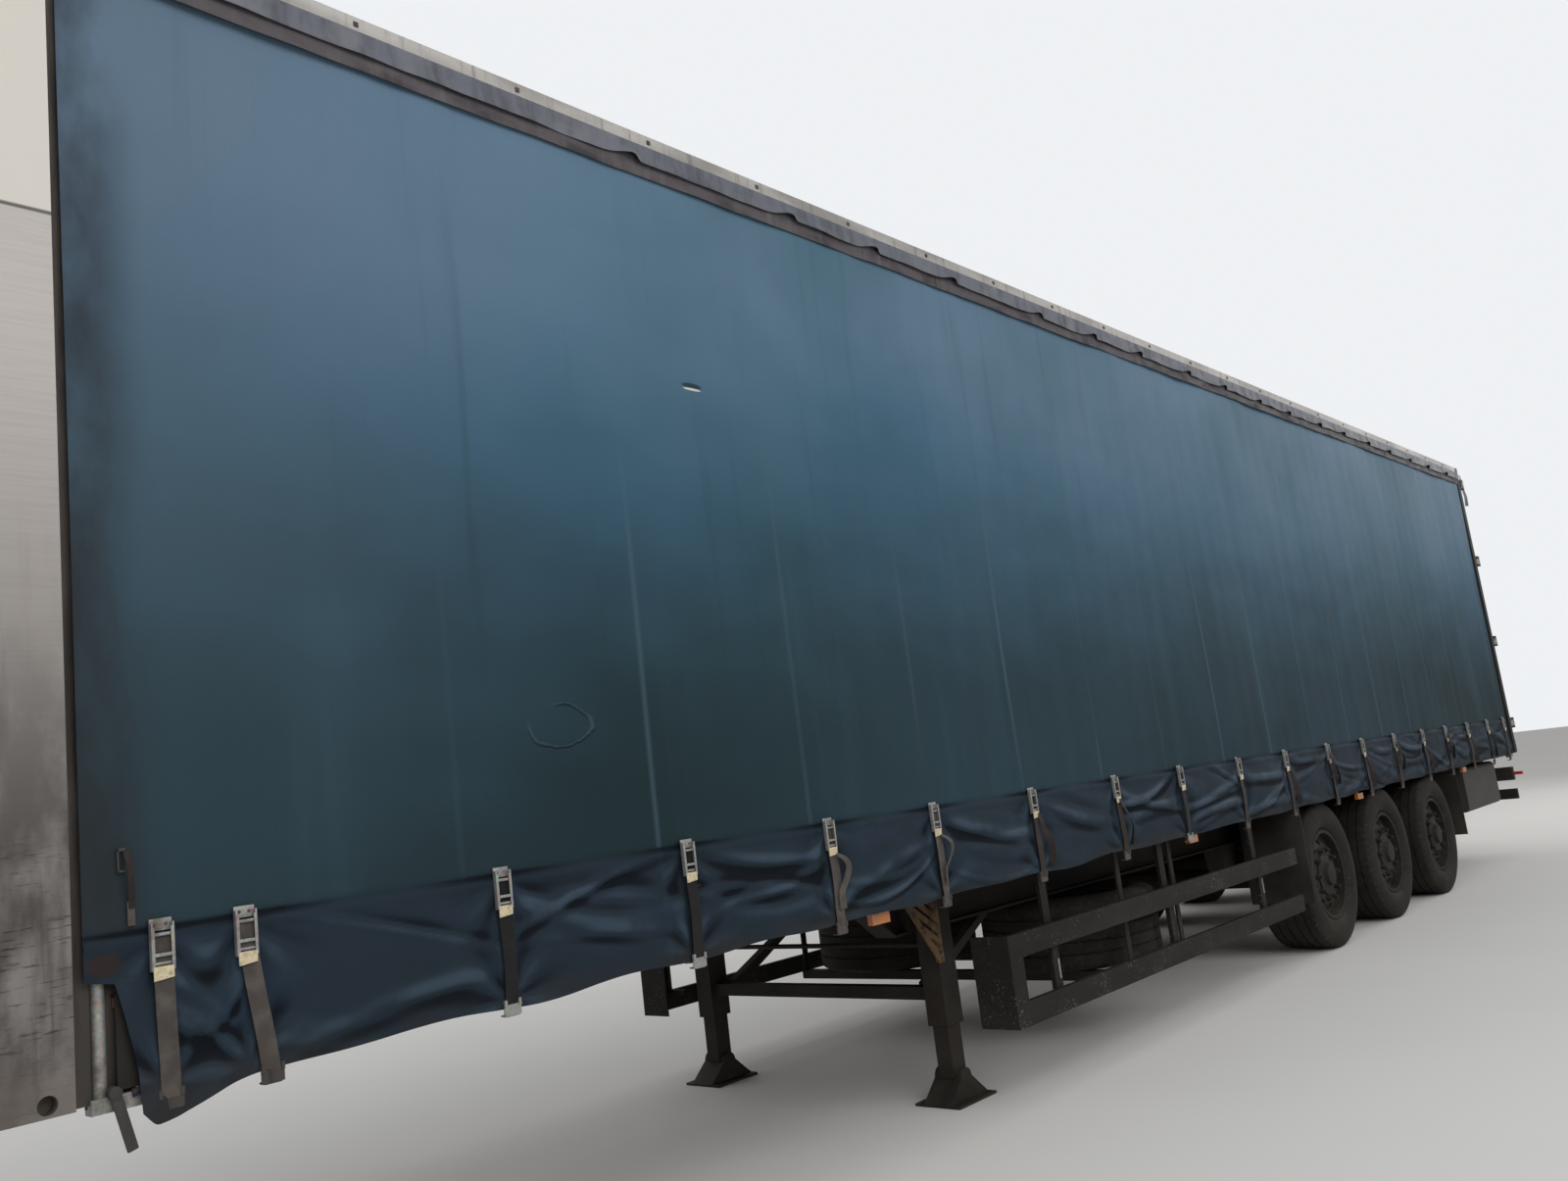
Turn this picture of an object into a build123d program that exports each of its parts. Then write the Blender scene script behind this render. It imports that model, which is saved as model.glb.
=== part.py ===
"""Three-axle curtain-sided semi trailer, parked on its landing legs.

Millimetres. X points forward, Y to the left side, Z up, and the origin is on the ground
below the middle of the trailer. Stations along the trailer that were read from the left
side are measured rearward from the rear edge of the front corner post.
"""

import os

from build123d import *

os.makedirs("parts", exist_ok=True)

# Overall sizes
LENGTH = 13750
WIDTH = 2550
HEIGHT = 4000
FRONT_X = LENGTH / 2
REAR_X = -LENGTH / 2
HALF_WIDTH = WIDTH / 2
SIDES = (1, -1)

# Front corner posts and wall
POST_DEPTH = 150
POST_WIDTH = 140
POST_FOOT_Z = 985
POST_X = FRONT_X - POST_DEPTH
POST_INNER_Y = HALF_WIDTH - POST_WIDTH
LASH_HOLE_R = 21
LASH_HOLE_BACK = -56
LASH_HOLE_Z = 1012
LASH_HOLE_DEPTH = 40
WALL_RECESS = 23
WALL_THICK = 25
WALL_RIB = 8
WALL_RIB_WIDTH = 50
WALL_RIB_COUNT = 9
WALL_X = FRONT_X - WALL_RECESS

# Rear frame and doors
BUFFER_LENGTH = 125
FRAME_X = REAR_X + BUFFER_LENGTH
FRAME_POST_DEPTH = 85
FRAME_POST_WIDTH = 100
FRAME_FRONT_X = FRAME_X + FRAME_POST_DEPTH
FRAME_FOOT_Z = 1000
HEADER_HEIGHT = 110
DOOR_GAP = 6
DOOR_THICK = 29
DOOR_INNER_X = FRAME_X - DOOR_GAP
DOOR_OUTER_X = DOOR_INNER_X - DOOR_THICK
DOOR_SIDE_Y = 1200
DOOR_FREE_Y = 8
DOOR_FOOT_Z = 1140
DOOR_TOP_Z = HEIGHT - 15
HINGE_PIVOT_X = DOOR_OUTER_X - 70
HINGE_PIVOT_Y = HALF_WIDTH - 7
HINGE_PIN_R = 8
HINGE_RUNNING_GAP = 0.4
HINGE_EYE_R = 16
HINGE_ARM_HEIGHT = 60
HINGE_LUG_HEIGHT = 20
HINGE_LUG_GAP = 2
HINGE_HEIGHTS = (1300, 2150, 3000, 3830)
LOCK_BAR_R = 13.5
LOCK_BAR_STAND = 27
LOCK_BAR_YS = (180, 860)
LOCK_BAR_FOOT_Z = 1085
LOCK_BAR_TOP_Z = 3960
LOCK_BRACKET_ZS = (1210, 1760, 2500, 3240, 3890)
CAM_HEIGHT = 30
LOCK_HANDLE_Z = 1540
LOCK_HANDLE_LENGTH = 260

# Floor, side raves and frame
FLOOR_TOP_Z = 1208
FLOOR_THICK = 23
FLOOR_UNDER_Z = FLOOR_TOP_Z - FLOOR_THICK
SILL_TOP_Z = 1215
RAVE_OUTER_Y = 1250
RAVE_WALL = 6
RAVE_FOOT_Z = 1005
RAVE_LIP = 36
RAVE_TOP_WIDTH = 60
RAVE_FRONT_X = POST_X - 95
RAVE_REAR_X = FRAME_FRONT_X + 65
BEAM_Y = 650
BEAM_FLANGE = 120
BEAM_FLANGE_THICK = 12
BEAM_WEB = 8
BEAM_TOP_Z = FLOOR_UNDER_Z
NECK_FOOT_Z = 1105
BEAM_FOOT_Z = 765
BEAM_TAIL_Z = 865
BEAM_FRONT_X = RAVE_FRONT_X
NECK_END_X = 3500
BEAM_DEEP_X = 3060
TAIL_START_X = -4450
BEAM_REAR_X = RAVE_REAR_X
MEMBER_FOOT_Z = 1120
MEMBER_WIDTH = 60
MEMBER_FIRST_X = 6250
MEMBER_PITCH = 620
MEMBER_COUNT = 21

# Coupling plate and kingpin
KINGPIN_X = FRONT_X - 1680
SKID_THICK = 12
SKID_LENGTH = 1300
SKID_WIDTH = 1420
SKID_UNDER_Z = NECK_FOOT_Z - SKID_THICK
# kingpin collars downward from the skid plate: radius, height
KINGPIN_COLLARS = ((36.5, 35), (25.4, 32), (35.75, 17))

# Roof
RAIL_HEIGHT = 85
RAIL_WALL = 8
RAIL_TOP_WIDTH = 70
RAIL_SHELF_Z = 3940
RAIL_SHELF_WIDTH = 60
ROOF_SKIN = 4
ROOF_SKIN_Z = HEIGHT - 14
BOW_HEIGHT = 30
BOW_WIDTH = 40
BOW_COUNT = 11

# Side posts and curtains
CENTRE_POST_XS = (3365, 0, -3365)
CENTRE_POST_WIDTH = 110
CENTRE_POST_DEPTH = 50
CURTAIN_OUTER_Y = 1262
CURTAIN_THICK = 4
CURTAIN_FRONT_X = POST_X - 27
CURTAIN_REAR_X = FRAME_FRONT_X + 5
CURTAIN_TOP_Z = RAIL_SHELF_Z - 3
CURTAIN_FOOT_Z = 976
CURTAIN_CUT_Z = 1250
CURTAIN_CUT_TOP = 66
CURTAIN_CUT_FOOT = 113
POLE_R = 15.5
POLE_Y = 1232
POLE_FRONT_X = POST_X - 63
POLE_REAR_X = FRAME_FRONT_X + 32
POLE_FOOT_Z = 962
RATCHET_LENGTH = 120
RATCHET_HEIGHT = 34

# Curtain buckles, measured rearward from the front post
BUCKLE_STATIONS = (
    194, 393, 1150, 1895, 2632, 3319, 4109, 4927, 5700, 6517,
    7282, 8086, 8835, 9609, 10378, 11082, 11809, 12531, 13179,
)
BUCKLE_WIDTH = 52
BUCKLE_TOP_Z = 1370
BUCKLE_HEIGHT = 125
BUCKLE_DEPTH = 20
BUCKLE_PLATE = 3
STRAP_WIDTH = 45
STRAP_THICK = 3
STRAP_FOOT_Z = 966
STRAP_HOOK_Y = 1238
STRAP_HOOK_HEIGHT = 36

# Running gear
AXLE_SPACING = 1310
FIRST_AXLE_X = POST_X - 7929
AXLE_XS = tuple(FIRST_AXLE_X - AXLE_SPACING * n for n in range(3))
TYRE_R = 490
TYRE_WIDTH = 385
TRACK = 2040
WHEEL_Y = TRACK / 2
RIM_R = 285.75
RIM_FLANGE_R = 298.5
RIM_WIDTH = 298.5
RIM_METAL = 9
RIM_WELL_R = 258
TYRE_WALL = 24
TYRE_RIM_GAP = 0.5
DISC_OFFSET = 120
DISC_METAL = 14
HUB_BORE_R = 140.5
STUD_CIRCLE_R = 167.5
STUD_COUNT = 10
STUD_R = 11
NUT_R = 18
HAND_HOLE_R = 24
HAND_HOLE_CIRCLE_R = 216
HUB_R = 112
HUB_FLANGE_R = 190
HUB_CAP_R = 72
BRAKE_DISC_R = 215
BRAKE_DISC_THICK = 45
BRAKE_DISC_OFFSET = -60
SPINDLE_R = 44
SPINDLE_GAP = 1
AXLE_TUBE_R = 73
AXLE_TUBE_END_Y = 860

# Suspension
SPRING_Y = BEAM_Y
HANGER_AHEAD = 500
HANGER_PIVOT_Z = 560
SPRING_BEHIND = 380
SPRING_R = 140
SPRING_FOOT_Z = 505
ARM_WIDTH = 100
ARM_HEIGHT = 54
ARM_TAIL = 30

# Landing legs
LEG_X = POST_X - 3870
LEG_Y = 775
LEG_LENGTH_X = 130
LEG_WIDTH_Y = 110
LEG_FOOT_Z = 340
LEG_TOP_Z = 1100
INNER_LEG_X = 100
INNER_LEG_Y = 84
FOOT_PLATE_LENGTH = 300
FOOT_PLATE_WIDTH = 250
FOOT_PLATE_THICK = 12
FOOT_PIN_Z = 105
FOOT_PIN_R = 28
TIE_Z = 480
TIE_SIZE = 60
CRANK_Z = 700
CRANK_SHAFT_R = 12

# Side guards
GUARD_OUTER_Y = 1245
GUARD_THICK = 28
GUARD_RAIL_HEIGHT = 104
GUARD_UPPER_Z = 640
GUARD_LOWER_Z = 345
GUARD_FRONT_X = POST_X - 3775
GUARD_REAR_X = POST_X - 7230
GUARD_END_DEPTH = 200
GUARD_POST_WIDTH = 60
GUARD_POST_THICK = 24
GUARD_POST_MEMBERS = (6, 8, 10)

# Spare wheels, lying flat side by side
SPARE_X = POST_X - 5360
SPARE_Y = 620
SPARE_UNDER_Z = 368
SPARE_SEAT_GAP = 1
CARRIER_BAR_WIDTH = 60
CARRIER_BAR_HEIGHT = 50
CARRIER_SPREAD = 310

# Air tanks
TANK_R = 138
TANK_LENGTH = 840
TANK_Z = 930
TANK_XS = (2150, 430)

# Rear under-frame
BOX_FRONT_X = POST_X - 11720
BOX_LENGTH = 1160
BOX_OUTER_Y = 1175
BOX_DEPTH = 460
BOX_FOOT_Z = 560
BOX_HEIGHT = 400
FLAP_X = AXLE_XS[2] - TYRE_R - 300
FLAP_THICK = 8
FLAP_INNER_Y = 830
FLAP_OUTER_Y = 1215
FLAP_FOOT_Z = 400
FLAP_TOP_Z = 1000
FLAP_TUBE_R = 16
UNDERRUN_Z = 537
UNDERRUN_HEIGHT = 100
UNDERRUN_DEPTH = 60
UNDERRUN_REAR_X = FRAME_X - 40
UNDERRUN_HALF = 1200
LAMP_BEAM_Z = 727
LAMP_BEAM_HEIGHT = 131
LAMP_BEAM_DEPTH = 80
LAMP_BEAM_REAR_X = FRAME_X - 40
LAMP_BEAM_HALF = 1200
LAMP_DEPTH = 26
MARKER_STATIONS = (2914, 5794, 8674, 11554)
MARKER_LENGTH = 110
MARKER_HEIGHT = 42
MARKER_DEPTH = 26


def save(builder, name):
    """Labels a finished piece and writes it."""
    builder.part.label = name
    export_step(builder.part, f"parts/{name}.step")


def blocks(low, high, sides=(1,), xs=(0,), zs=(0,)):
    """Adds equal boxes: one between two corners, repeated to the sides and at steps in X and Z."""
    x, y, z = [(a + b) / 2 for a, b in zip(low, high)]
    size = [b - a for a, b in zip(low, high)]
    spots = [(x + dx, y * side, z + dz) for side in sides for dx in xs for dz in zs]
    with Locations(*spots):
        Box(*size)


def upright(x, y):
    """A plane along the trailer through (x, y), its own x forward and its y up."""
    return Plane(origin=(x, y, 0), x_dir=(1, 0, 0), z_dir=(0, -1, 0))


def levels(heights):
    """Level planes at the given heights."""
    return [Plane.XY.offset(z) for z in heights]


# Two tapered I-beams with a shallow neck over the coupling
with BuildPart() as main_beams:
    foot_line = (
        (BEAM_REAR_X, BEAM_TAIL_Z),
        (TAIL_START_X, BEAM_FOOT_Z),
        (BEAM_DEEP_X, BEAM_FOOT_Z),
        (NECK_END_X, NECK_FOOT_Z),
        (BEAM_FRONT_X, NECK_FOOT_Z),
    )
    beam_planes = [upright(0, side * BEAM_Y) for side in SIDES]
    with BuildSketch(*beam_planes):
        with BuildLine():
            Polyline(*foot_line, (BEAM_FRONT_X, BEAM_TOP_Z), (BEAM_REAR_X, BEAM_TOP_Z), close=True)
        make_face()
    extrude(amount=BEAM_WEB / 2, both=True)
    with BuildSketch(*beam_planes):
        with BuildLine():
            raised = [(x, z + BEAM_FLANGE_THICK) for x, z in reversed(foot_line)]
            Polyline(*foot_line, *raised, close=True)
        make_face()
        with BuildLine():
            Polyline(
                (BEAM_REAR_X, BEAM_TOP_Z - BEAM_FLANGE_THICK),
                (BEAM_FRONT_X, BEAM_TOP_Z - BEAM_FLANGE_THICK),
                (BEAM_FRONT_X, BEAM_TOP_Z),
                (BEAM_REAR_X, BEAM_TOP_Z),
                close=True,
            )
        make_face()
    extrude(amount=BEAM_FLANGE / 2, both=True)
save(main_beams, "main_beams")

# Cross members between the beams and out to the side raves, and the front bolster
MEMBER_XS = tuple(MEMBER_FIRST_X - MEMBER_PITCH * n for n in range(MEMBER_COUNT))
with BuildPart() as cross_members:
    web_inner = BEAM_Y - BEAM_WEB / 2
    web_outer = BEAM_Y + BEAM_WEB / 2
    flange_inner = BEAM_Y - BEAM_FLANGE / 2
    flange_outer = BEAM_Y + BEAM_FLANGE / 2
    under_flange = BEAM_TOP_Z - BEAM_FLANGE_THICK
    rave_web = RAVE_OUTER_Y - RAVE_WALL
    with BuildSketch(*[Plane.YZ.offset(x) for x in MEMBER_XS]):
        with BuildLine():
            Polyline(
                (-web_inner, MEMBER_FOOT_Z),
                (web_inner, MEMBER_FOOT_Z),
                (web_inner, under_flange),
                (flange_inner, under_flange),
                (flange_inner, BEAM_TOP_Z),
                (-flange_inner, BEAM_TOP_Z),
                (-flange_inner, under_flange),
                (-web_inner, under_flange),
                close=True,
            )
        make_face()
        for side in SIDES:
            with BuildLine():
                Polyline(
                    (side * web_outer, MEMBER_FOOT_Z),
                    (side * rave_web, MEMBER_FOOT_Z),
                    (side * rave_web, BEAM_TOP_Z),
                    (side * flange_outer, BEAM_TOP_Z),
                    (side * flange_outer, under_flange),
                    (side * web_outer, under_flange),
                    close=True,
                )
            make_face()
    extrude(amount=MEMBER_WIDTH / 2, both=True)
    blocks((BEAM_FRONT_X, -POST_INNER_Y, NECK_FOOT_Z), (WALL_X - 10, POST_INNER_Y, SILL_TOP_Z))
save(cross_members, "cross_members")

# Side raves, C-shaped and open inward
with BuildPart() as side_raves:
    with BuildSketch(Plane.YZ.offset(RAVE_REAR_X)):
        for side in SIDES:
            inner = RAVE_OUTER_Y - RAVE_WALL
            with BuildLine():
                Polyline(
                    (side * RAVE_OUTER_Y, RAVE_FOOT_Z),
                    (side * RAVE_OUTER_Y, SILL_TOP_Z),
                    (side * (RAVE_OUTER_Y - RAVE_TOP_WIDTH), SILL_TOP_Z),
                    (side * (RAVE_OUTER_Y - RAVE_TOP_WIDTH), SILL_TOP_Z - RAVE_WALL),
                    (side * inner, SILL_TOP_Z - RAVE_WALL),
                    (side * inner, RAVE_FOOT_Z + RAVE_WALL),
                    (side * (RAVE_OUTER_Y - RAVE_LIP), RAVE_FOOT_Z + RAVE_WALL),
                    (side * (RAVE_OUTER_Y - RAVE_LIP), RAVE_FOOT_Z),
                    close=True,
                )
            make_face()
    extrude(amount=RAVE_FRONT_X - RAVE_REAR_X)
save(side_raves, "side_raves")

# Plywood load floor between the raves
with BuildPart() as load_floor:
    floor_y = RAVE_OUTER_Y - RAVE_WALL - 4
    blocks((RAVE_REAR_X, -floor_y, FLOOR_UNDER_Z), (RAVE_FRONT_X, floor_y, FLOOR_TOP_Z))
save(load_floor, "load_floor")

# Skid plate with the kingpin
with BuildPart() as coupling_plate:
    blocks(
        (KINGPIN_X - SKID_LENGTH / 2, -SKID_WIDTH / 2, SKID_UNDER_Z),
        (KINGPIN_X + SKID_LENGTH / 2, SKID_WIDTH / 2, NECK_FOOT_Z),
    )
    top = SKID_UNDER_Z
    for radius, height in KINGPIN_COLLARS:
        with Locations((KINGPIN_X, 0, top - height / 2)):
            Cylinder(radius, height)
        top -= height
save(coupling_plate, "coupling_plate")

# Front corner posts, hollow extrusions with a lashing hole near the foot
with BuildPart() as front_posts:
    blocks((POST_X, POST_INNER_Y, POST_FOOT_Z), (FRONT_X, HALF_WIDTH, HEIGHT), SIDES)
    with BuildSketch(*[upright(POST_X - LASH_HOLE_BACK, side * HALF_WIDTH) for side in SIDES]):
        with Locations((0, LASH_HOLE_Z)):
            Circle(LASH_HOLE_R)
    extrude(amount=LASH_HOLE_DEPTH, both=True, mode=Mode.SUBTRACT)
save(front_posts, "front_posts")

# Front wall with upright ribs, between the posts
with BuildPart() as front_wall:
    wall_front = WALL_X - WALL_RIB
    blocks((wall_front - WALL_THICK, -POST_INNER_Y, SILL_TOP_Z), (wall_front, POST_INNER_Y, HEIGHT - 12))
    rib_pitch = 2 * POST_INNER_Y / (WALL_RIB_COUNT + 1)
    rib_low, rib_high = SILL_TOP_Z + 260, HEIGHT - 60
    with Locations((WALL_X - WALL_RIB / 2, 0, (rib_low + rib_high) / 2)):
        with GridLocations(1, rib_pitch, 1, WALL_RIB_COUNT):
            Box(WALL_RIB, WALL_RIB_WIDTH, rib_high - rib_low)
save(front_wall, "front_wall")

# Air and electric couplings on the front wall's foot
with BuildPart() as service_couplings:
    plate_front = WALL_X - WALL_RIB + 6
    blocks((WALL_X - WALL_RIB, -300, SILL_TOP_Z + 40), (plate_front, 300, SILL_TOP_Z + 190))
    with BuildSketch(Plane.YZ.offset(plate_front)):
        with Locations((0, SILL_TOP_Z + 115)):
            with GridLocations(110, 1, 5, 1):
                Circle(34)
    extrude(amount=20)
save(service_couplings, "service_couplings")

# Rear frame: posts, header, sill and the hinge lugs with their pins
with BuildPart() as rear_frame:
    post_inner = HALF_WIDTH - FRAME_POST_WIDTH
    blocks((FRAME_X, post_inner, FRAME_FOOT_Z), (FRAME_FRONT_X, HALF_WIDTH, HEIGHT), SIDES)
    blocks((FRAME_X, -post_inner, HEIGHT - HEADER_HEIGHT), (FRAME_FRONT_X, post_inner, HEIGHT))
    blocks((FRAME_X, -post_inner, FRAME_FOOT_Z), (RAVE_REAR_X, post_inner, SILL_TOP_Z))
    reach = HINGE_ARM_HEIGHT / 2 + HINGE_LUG_GAP
    lug_feet = [h + low for h in HINGE_HEIGHTS for low in (reach, -reach - HINGE_LUG_HEIGHT)]
    with BuildSketch(*levels(lug_feet)):
        for side in SIDES:
            with BuildLine():
                Polyline(
                    (FRAME_X, side * (HALF_WIDTH - 70)),
                    (FRAME_X, side * HALF_WIDTH),
                    (HINGE_PIVOT_X, side * (HINGE_PIVOT_Y + HINGE_EYE_R)),
                    (HINGE_PIVOT_X, side * (HINGE_PIVOT_Y - HINGE_EYE_R)),
                    close=True,
                )
            make_face()
        with Locations((HINGE_PIVOT_X, HINGE_PIVOT_Y), (HINGE_PIVOT_X, -HINGE_PIVOT_Y)):
            Circle(HINGE_EYE_R)
    extrude(amount=HINGE_LUG_HEIGHT)
    with BuildSketch(*levels(h - reach for h in HINGE_HEIGHTS)):
        with Locations((HINGE_PIVOT_X, HINGE_PIVOT_Y), (HINGE_PIVOT_X, -HINGE_PIVOT_Y)):
            Circle(HINGE_PIN_R)
    extrude(amount=2 * reach)
save(rear_frame, "rear_frame")

# Rear doors, their hinge arms and lock bars
for side, name in ((1, "left"), (-1, "right")):
    with BuildPart() as rear_door:
        blocks(
            (DOOR_OUTER_X, DOOR_FREE_Y, DOOR_FOOT_Z),
            (DOOR_INNER_X, DOOR_SIDE_Y, DOOR_TOP_Z),
            (side,),
        )
    save(rear_door, f"rear_door_{name}")

    with BuildPart() as door_gear:
        with BuildSketch(*levels(h - HINGE_ARM_HEIGHT / 2 for h in HINGE_HEIGHTS)):
            with BuildLine():
                Polyline(
                    (DOOR_OUTER_X, side * (DOOR_SIDE_Y - 150)),
                    (DOOR_OUTER_X, side * (DOOR_SIDE_Y - 2)),
                    (HINGE_PIVOT_X + 11, side * (HINGE_PIVOT_Y + 11)),
                    (HINGE_PIVOT_X - 11, side * (HINGE_PIVOT_Y - 11)),
                    (DOOR_OUTER_X - 12, side * (DOOR_SIDE_Y - 22)),
                    (DOOR_OUTER_X - 8, side * (DOOR_SIDE_Y - 150)),
                    close=True,
                )
            make_face()
            with Locations((HINGE_PIVOT_X, side * HINGE_PIVOT_Y)):
                Circle(HINGE_EYE_R)
                Circle(HINGE_PIN_R + HINGE_RUNNING_GAP, mode=Mode.SUBTRACT)
        extrude(amount=HINGE_ARM_HEIGHT)
        bar_x = DOOR_OUTER_X - LOCK_BAR_STAND
        with BuildSketch(Plane.XY.offset(LOCK_BAR_FOOT_Z)):
            with Locations(*[(bar_x, side * y) for y in LOCK_BAR_YS]):
                Circle(LOCK_BAR_R)
        extrude(amount=LOCK_BAR_TOP_Z - LOCK_BAR_FOOT_Z)
        for y in LOCK_BAR_YS:
            blocks((bar_x, y - 30, -25), (DOOR_OUTER_X, y + 30, 25), (side,), zs=LOCK_BRACKET_ZS)
            cam_steps = (0, LOCK_BAR_TOP_Z - LOCK_BAR_FOOT_Z - CAM_HEIGHT)
            cam_top = LOCK_BAR_FOOT_Z + CAM_HEIGHT
            cam_foot = (bar_x - 13, y - 32, LOCK_BAR_FOOT_Z)
            blocks(cam_foot, (bar_x + 16, y + 32, cam_top), (side,), zs=cam_steps)
            handle_tip = (bar_x - 5, y + LOCK_HANDLE_LENGTH, LOCK_HANDLE_Z + 32)
            blocks((bar_x - 13, y - 10, LOCK_HANDLE_Z), handle_tip, (side,))
    save(door_gear, f"door_gear_{name}")

# Rubber buffers below the doors
with BuildPart() as rear_buffers:
    blocks((REAR_X, 1110, 1012), (FRAME_X, 1250, 1122), SIDES)
save(rear_buffers, "rear_buffers")

# Roof rails with the front header, bows and cover
with BuildPart() as roof_rails:
    rail_foot = HEIGHT - RAIL_HEIGHT
    with BuildSketch(Plane.YZ.offset(FRAME_FRONT_X)):
        for side in SIDES:
            web = HALF_WIDTH - RAIL_WALL
            shelf = RAIL_SHELF_Z
            with BuildLine():
                Polyline(
                    (side * HALF_WIDTH, rail_foot),
                    (side * HALF_WIDTH, HEIGHT),
                    (side * (HALF_WIDTH - RAIL_TOP_WIDTH), HEIGHT),
                    (side * (HALF_WIDTH - RAIL_TOP_WIDTH), HEIGHT - RAIL_WALL),
                    (side * web, HEIGHT - RAIL_WALL),
                    (side * web, shelf + RAIL_WALL),
                    (side * (web - RAIL_SHELF_WIDTH), shelf + RAIL_WALL),
                    (side * (web - RAIL_SHELF_WIDTH), shelf),
                    (side * web, shelf),
                    (side * web, rail_foot),
                    close=True,
                )
            make_face()
    extrude(amount=POST_X - FRAME_FRONT_X)
    blocks(
        (POST_X, -POST_INNER_Y, HEIGHT - RAIL_HEIGHT),
        (WALL_X - WALL_RIB - WALL_THICK, POST_INNER_Y, HEIGHT),
    )
save(roof_rails, "roof_rails")

with BuildPart() as roof_bows:
    bow_length = 2 * (HALF_WIDTH - RAIL_WALL - 1)
    bow_pitch = (POST_X - FRAME_FRONT_X) / (BOW_COUNT + 1)
    with Locations(((POST_X + FRAME_FRONT_X) / 2, 0, ROOF_SKIN_Z - BOW_HEIGHT / 2)):
        with GridLocations(bow_pitch, 1, BOW_COUNT, 1):
            Box(BOW_WIDTH, bow_length, BOW_HEIGHT)
save(roof_bows, "roof_bows")

with BuildPart() as roof_cover:
    cover_y = HALF_WIDTH - RAIL_TOP_WIDTH - 1
    blocks((FRAME_FRONT_X, -cover_y, ROOF_SKIN_Z), (POST_X, cover_y, ROOF_SKIN_Z + ROOF_SKIN))
save(roof_cover, "roof_cover")

# Sliding posts between floor and roof rail
with BuildPart() as side_posts:
    post_outer = RAVE_OUTER_Y - 8
    blocks(
        (-CENTRE_POST_WIDTH / 2, post_outer - CENTRE_POST_DEPTH, SILL_TOP_Z),
        (CENTRE_POST_WIDTH / 2, post_outer, RAIL_SHELF_Z),
        SIDES,
        xs=CENTRE_POST_XS,
    )
save(side_posts, "side_posts")

# Side curtains with the cut-away front foot
for side, name in ((1, "left"), (-1, "right")):
    with BuildPart() as curtain:
        with BuildSketch(Plane.XZ.offset(-side * (CURTAIN_OUTER_Y - CURTAIN_THICK / 2))):
            with BuildLine():
                Polyline(
                    (CURTAIN_REAR_X, CURTAIN_FOOT_Z),
                    (CURTAIN_REAR_X, CURTAIN_TOP_Z),
                    (CURTAIN_FRONT_X, CURTAIN_TOP_Z),
                    (CURTAIN_FRONT_X, CURTAIN_CUT_Z),
                    (CURTAIN_FRONT_X - CURTAIN_CUT_TOP, CURTAIN_CUT_Z),
                    (CURTAIN_FRONT_X - CURTAIN_CUT_FOOT, CURTAIN_FOOT_Z),
                    close=True,
                )
            make_face()
        extrude(amount=CURTAIN_THICK / 2, both=True)
    save(curtain, f"curtain_{name}")

# Tension poles at both ends of each curtain, with their ratchets
with BuildPart() as curtain_poles:
    with BuildSketch(Plane.XY.offset(POLE_FOOT_Z)):
        with Locations(*[(x, side * POLE_Y) for x in (POLE_FRONT_X, POLE_REAR_X) for side in SIDES]):
            Circle(POLE_R)
    extrude(amount=RAIL_SHELF_Z - POLE_FOOT_Z)
    for x, back in ((POLE_FRONT_X, -1), (POLE_REAR_X, 1)):
        near, far = sorted((x - back * 24, x + back * (RATCHET_LENGTH - 24)))
        blocks((near, POLE_Y - 22, POLE_FOOT_Z), (far, POLE_Y + 18, POLE_FOOT_Z + RATCHET_HEIGHT), SIDES)
save(curtain_poles, "curtain_poles")

# Over-centre buckles and the straps that hook under the raves
BUCKLE_XS = tuple(POST_X - station for station in BUCKLE_STATIONS)
with BuildPart() as curtain_buckles:
    half = BUCKLE_WIDTH / 2
    low_z = BUCKLE_TOP_Z - BUCKLE_HEIGHT
    face = CURTAIN_OUTER_Y + 1
    blocks((-half, face, low_z), (half, face + BUCKLE_PLATE, BUCKLE_TOP_Z), SIDES, xs=BUCKLE_XS)
    blocks(
        (-half, face + BUCKLE_PLATE, low_z),
        (half, face + BUCKLE_DEPTH, low_z + 50),
        SIDES,
        xs=BUCKLE_XS,
    )
save(curtain_buckles, "curtain_buckles")

with BuildPart() as curtain_straps:
    hook_z = STRAP_FOOT_Z + STRAP_HOOK_HEIGHT
    inner_y = CURTAIN_OUTER_Y + 2
    outer_y = inner_y + STRAP_THICK
    with BuildSketch(*[Plane.YZ.offset(x) for x in BUCKLE_XS]):
        for side in SIDES:
            with BuildLine():
                Polyline(
                    (side * outer_y, low_z),
                    (side * outer_y, STRAP_FOOT_Z),
                    (side * STRAP_HOOK_Y, STRAP_FOOT_Z),
                    (side * STRAP_HOOK_Y, hook_z),
                    (side * (STRAP_HOOK_Y + STRAP_THICK), hook_z),
                    (side * (STRAP_HOOK_Y + STRAP_THICK), STRAP_FOOT_Z + STRAP_THICK),
                    (side * inner_y, STRAP_FOOT_Z + STRAP_THICK),
                    (side * inner_y, low_z),
                    close=True,
                )
            make_face()
    extrude(amount=STRAP_WIDTH / 2, both=True)
save(curtain_straps, "curtain_straps")


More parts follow.
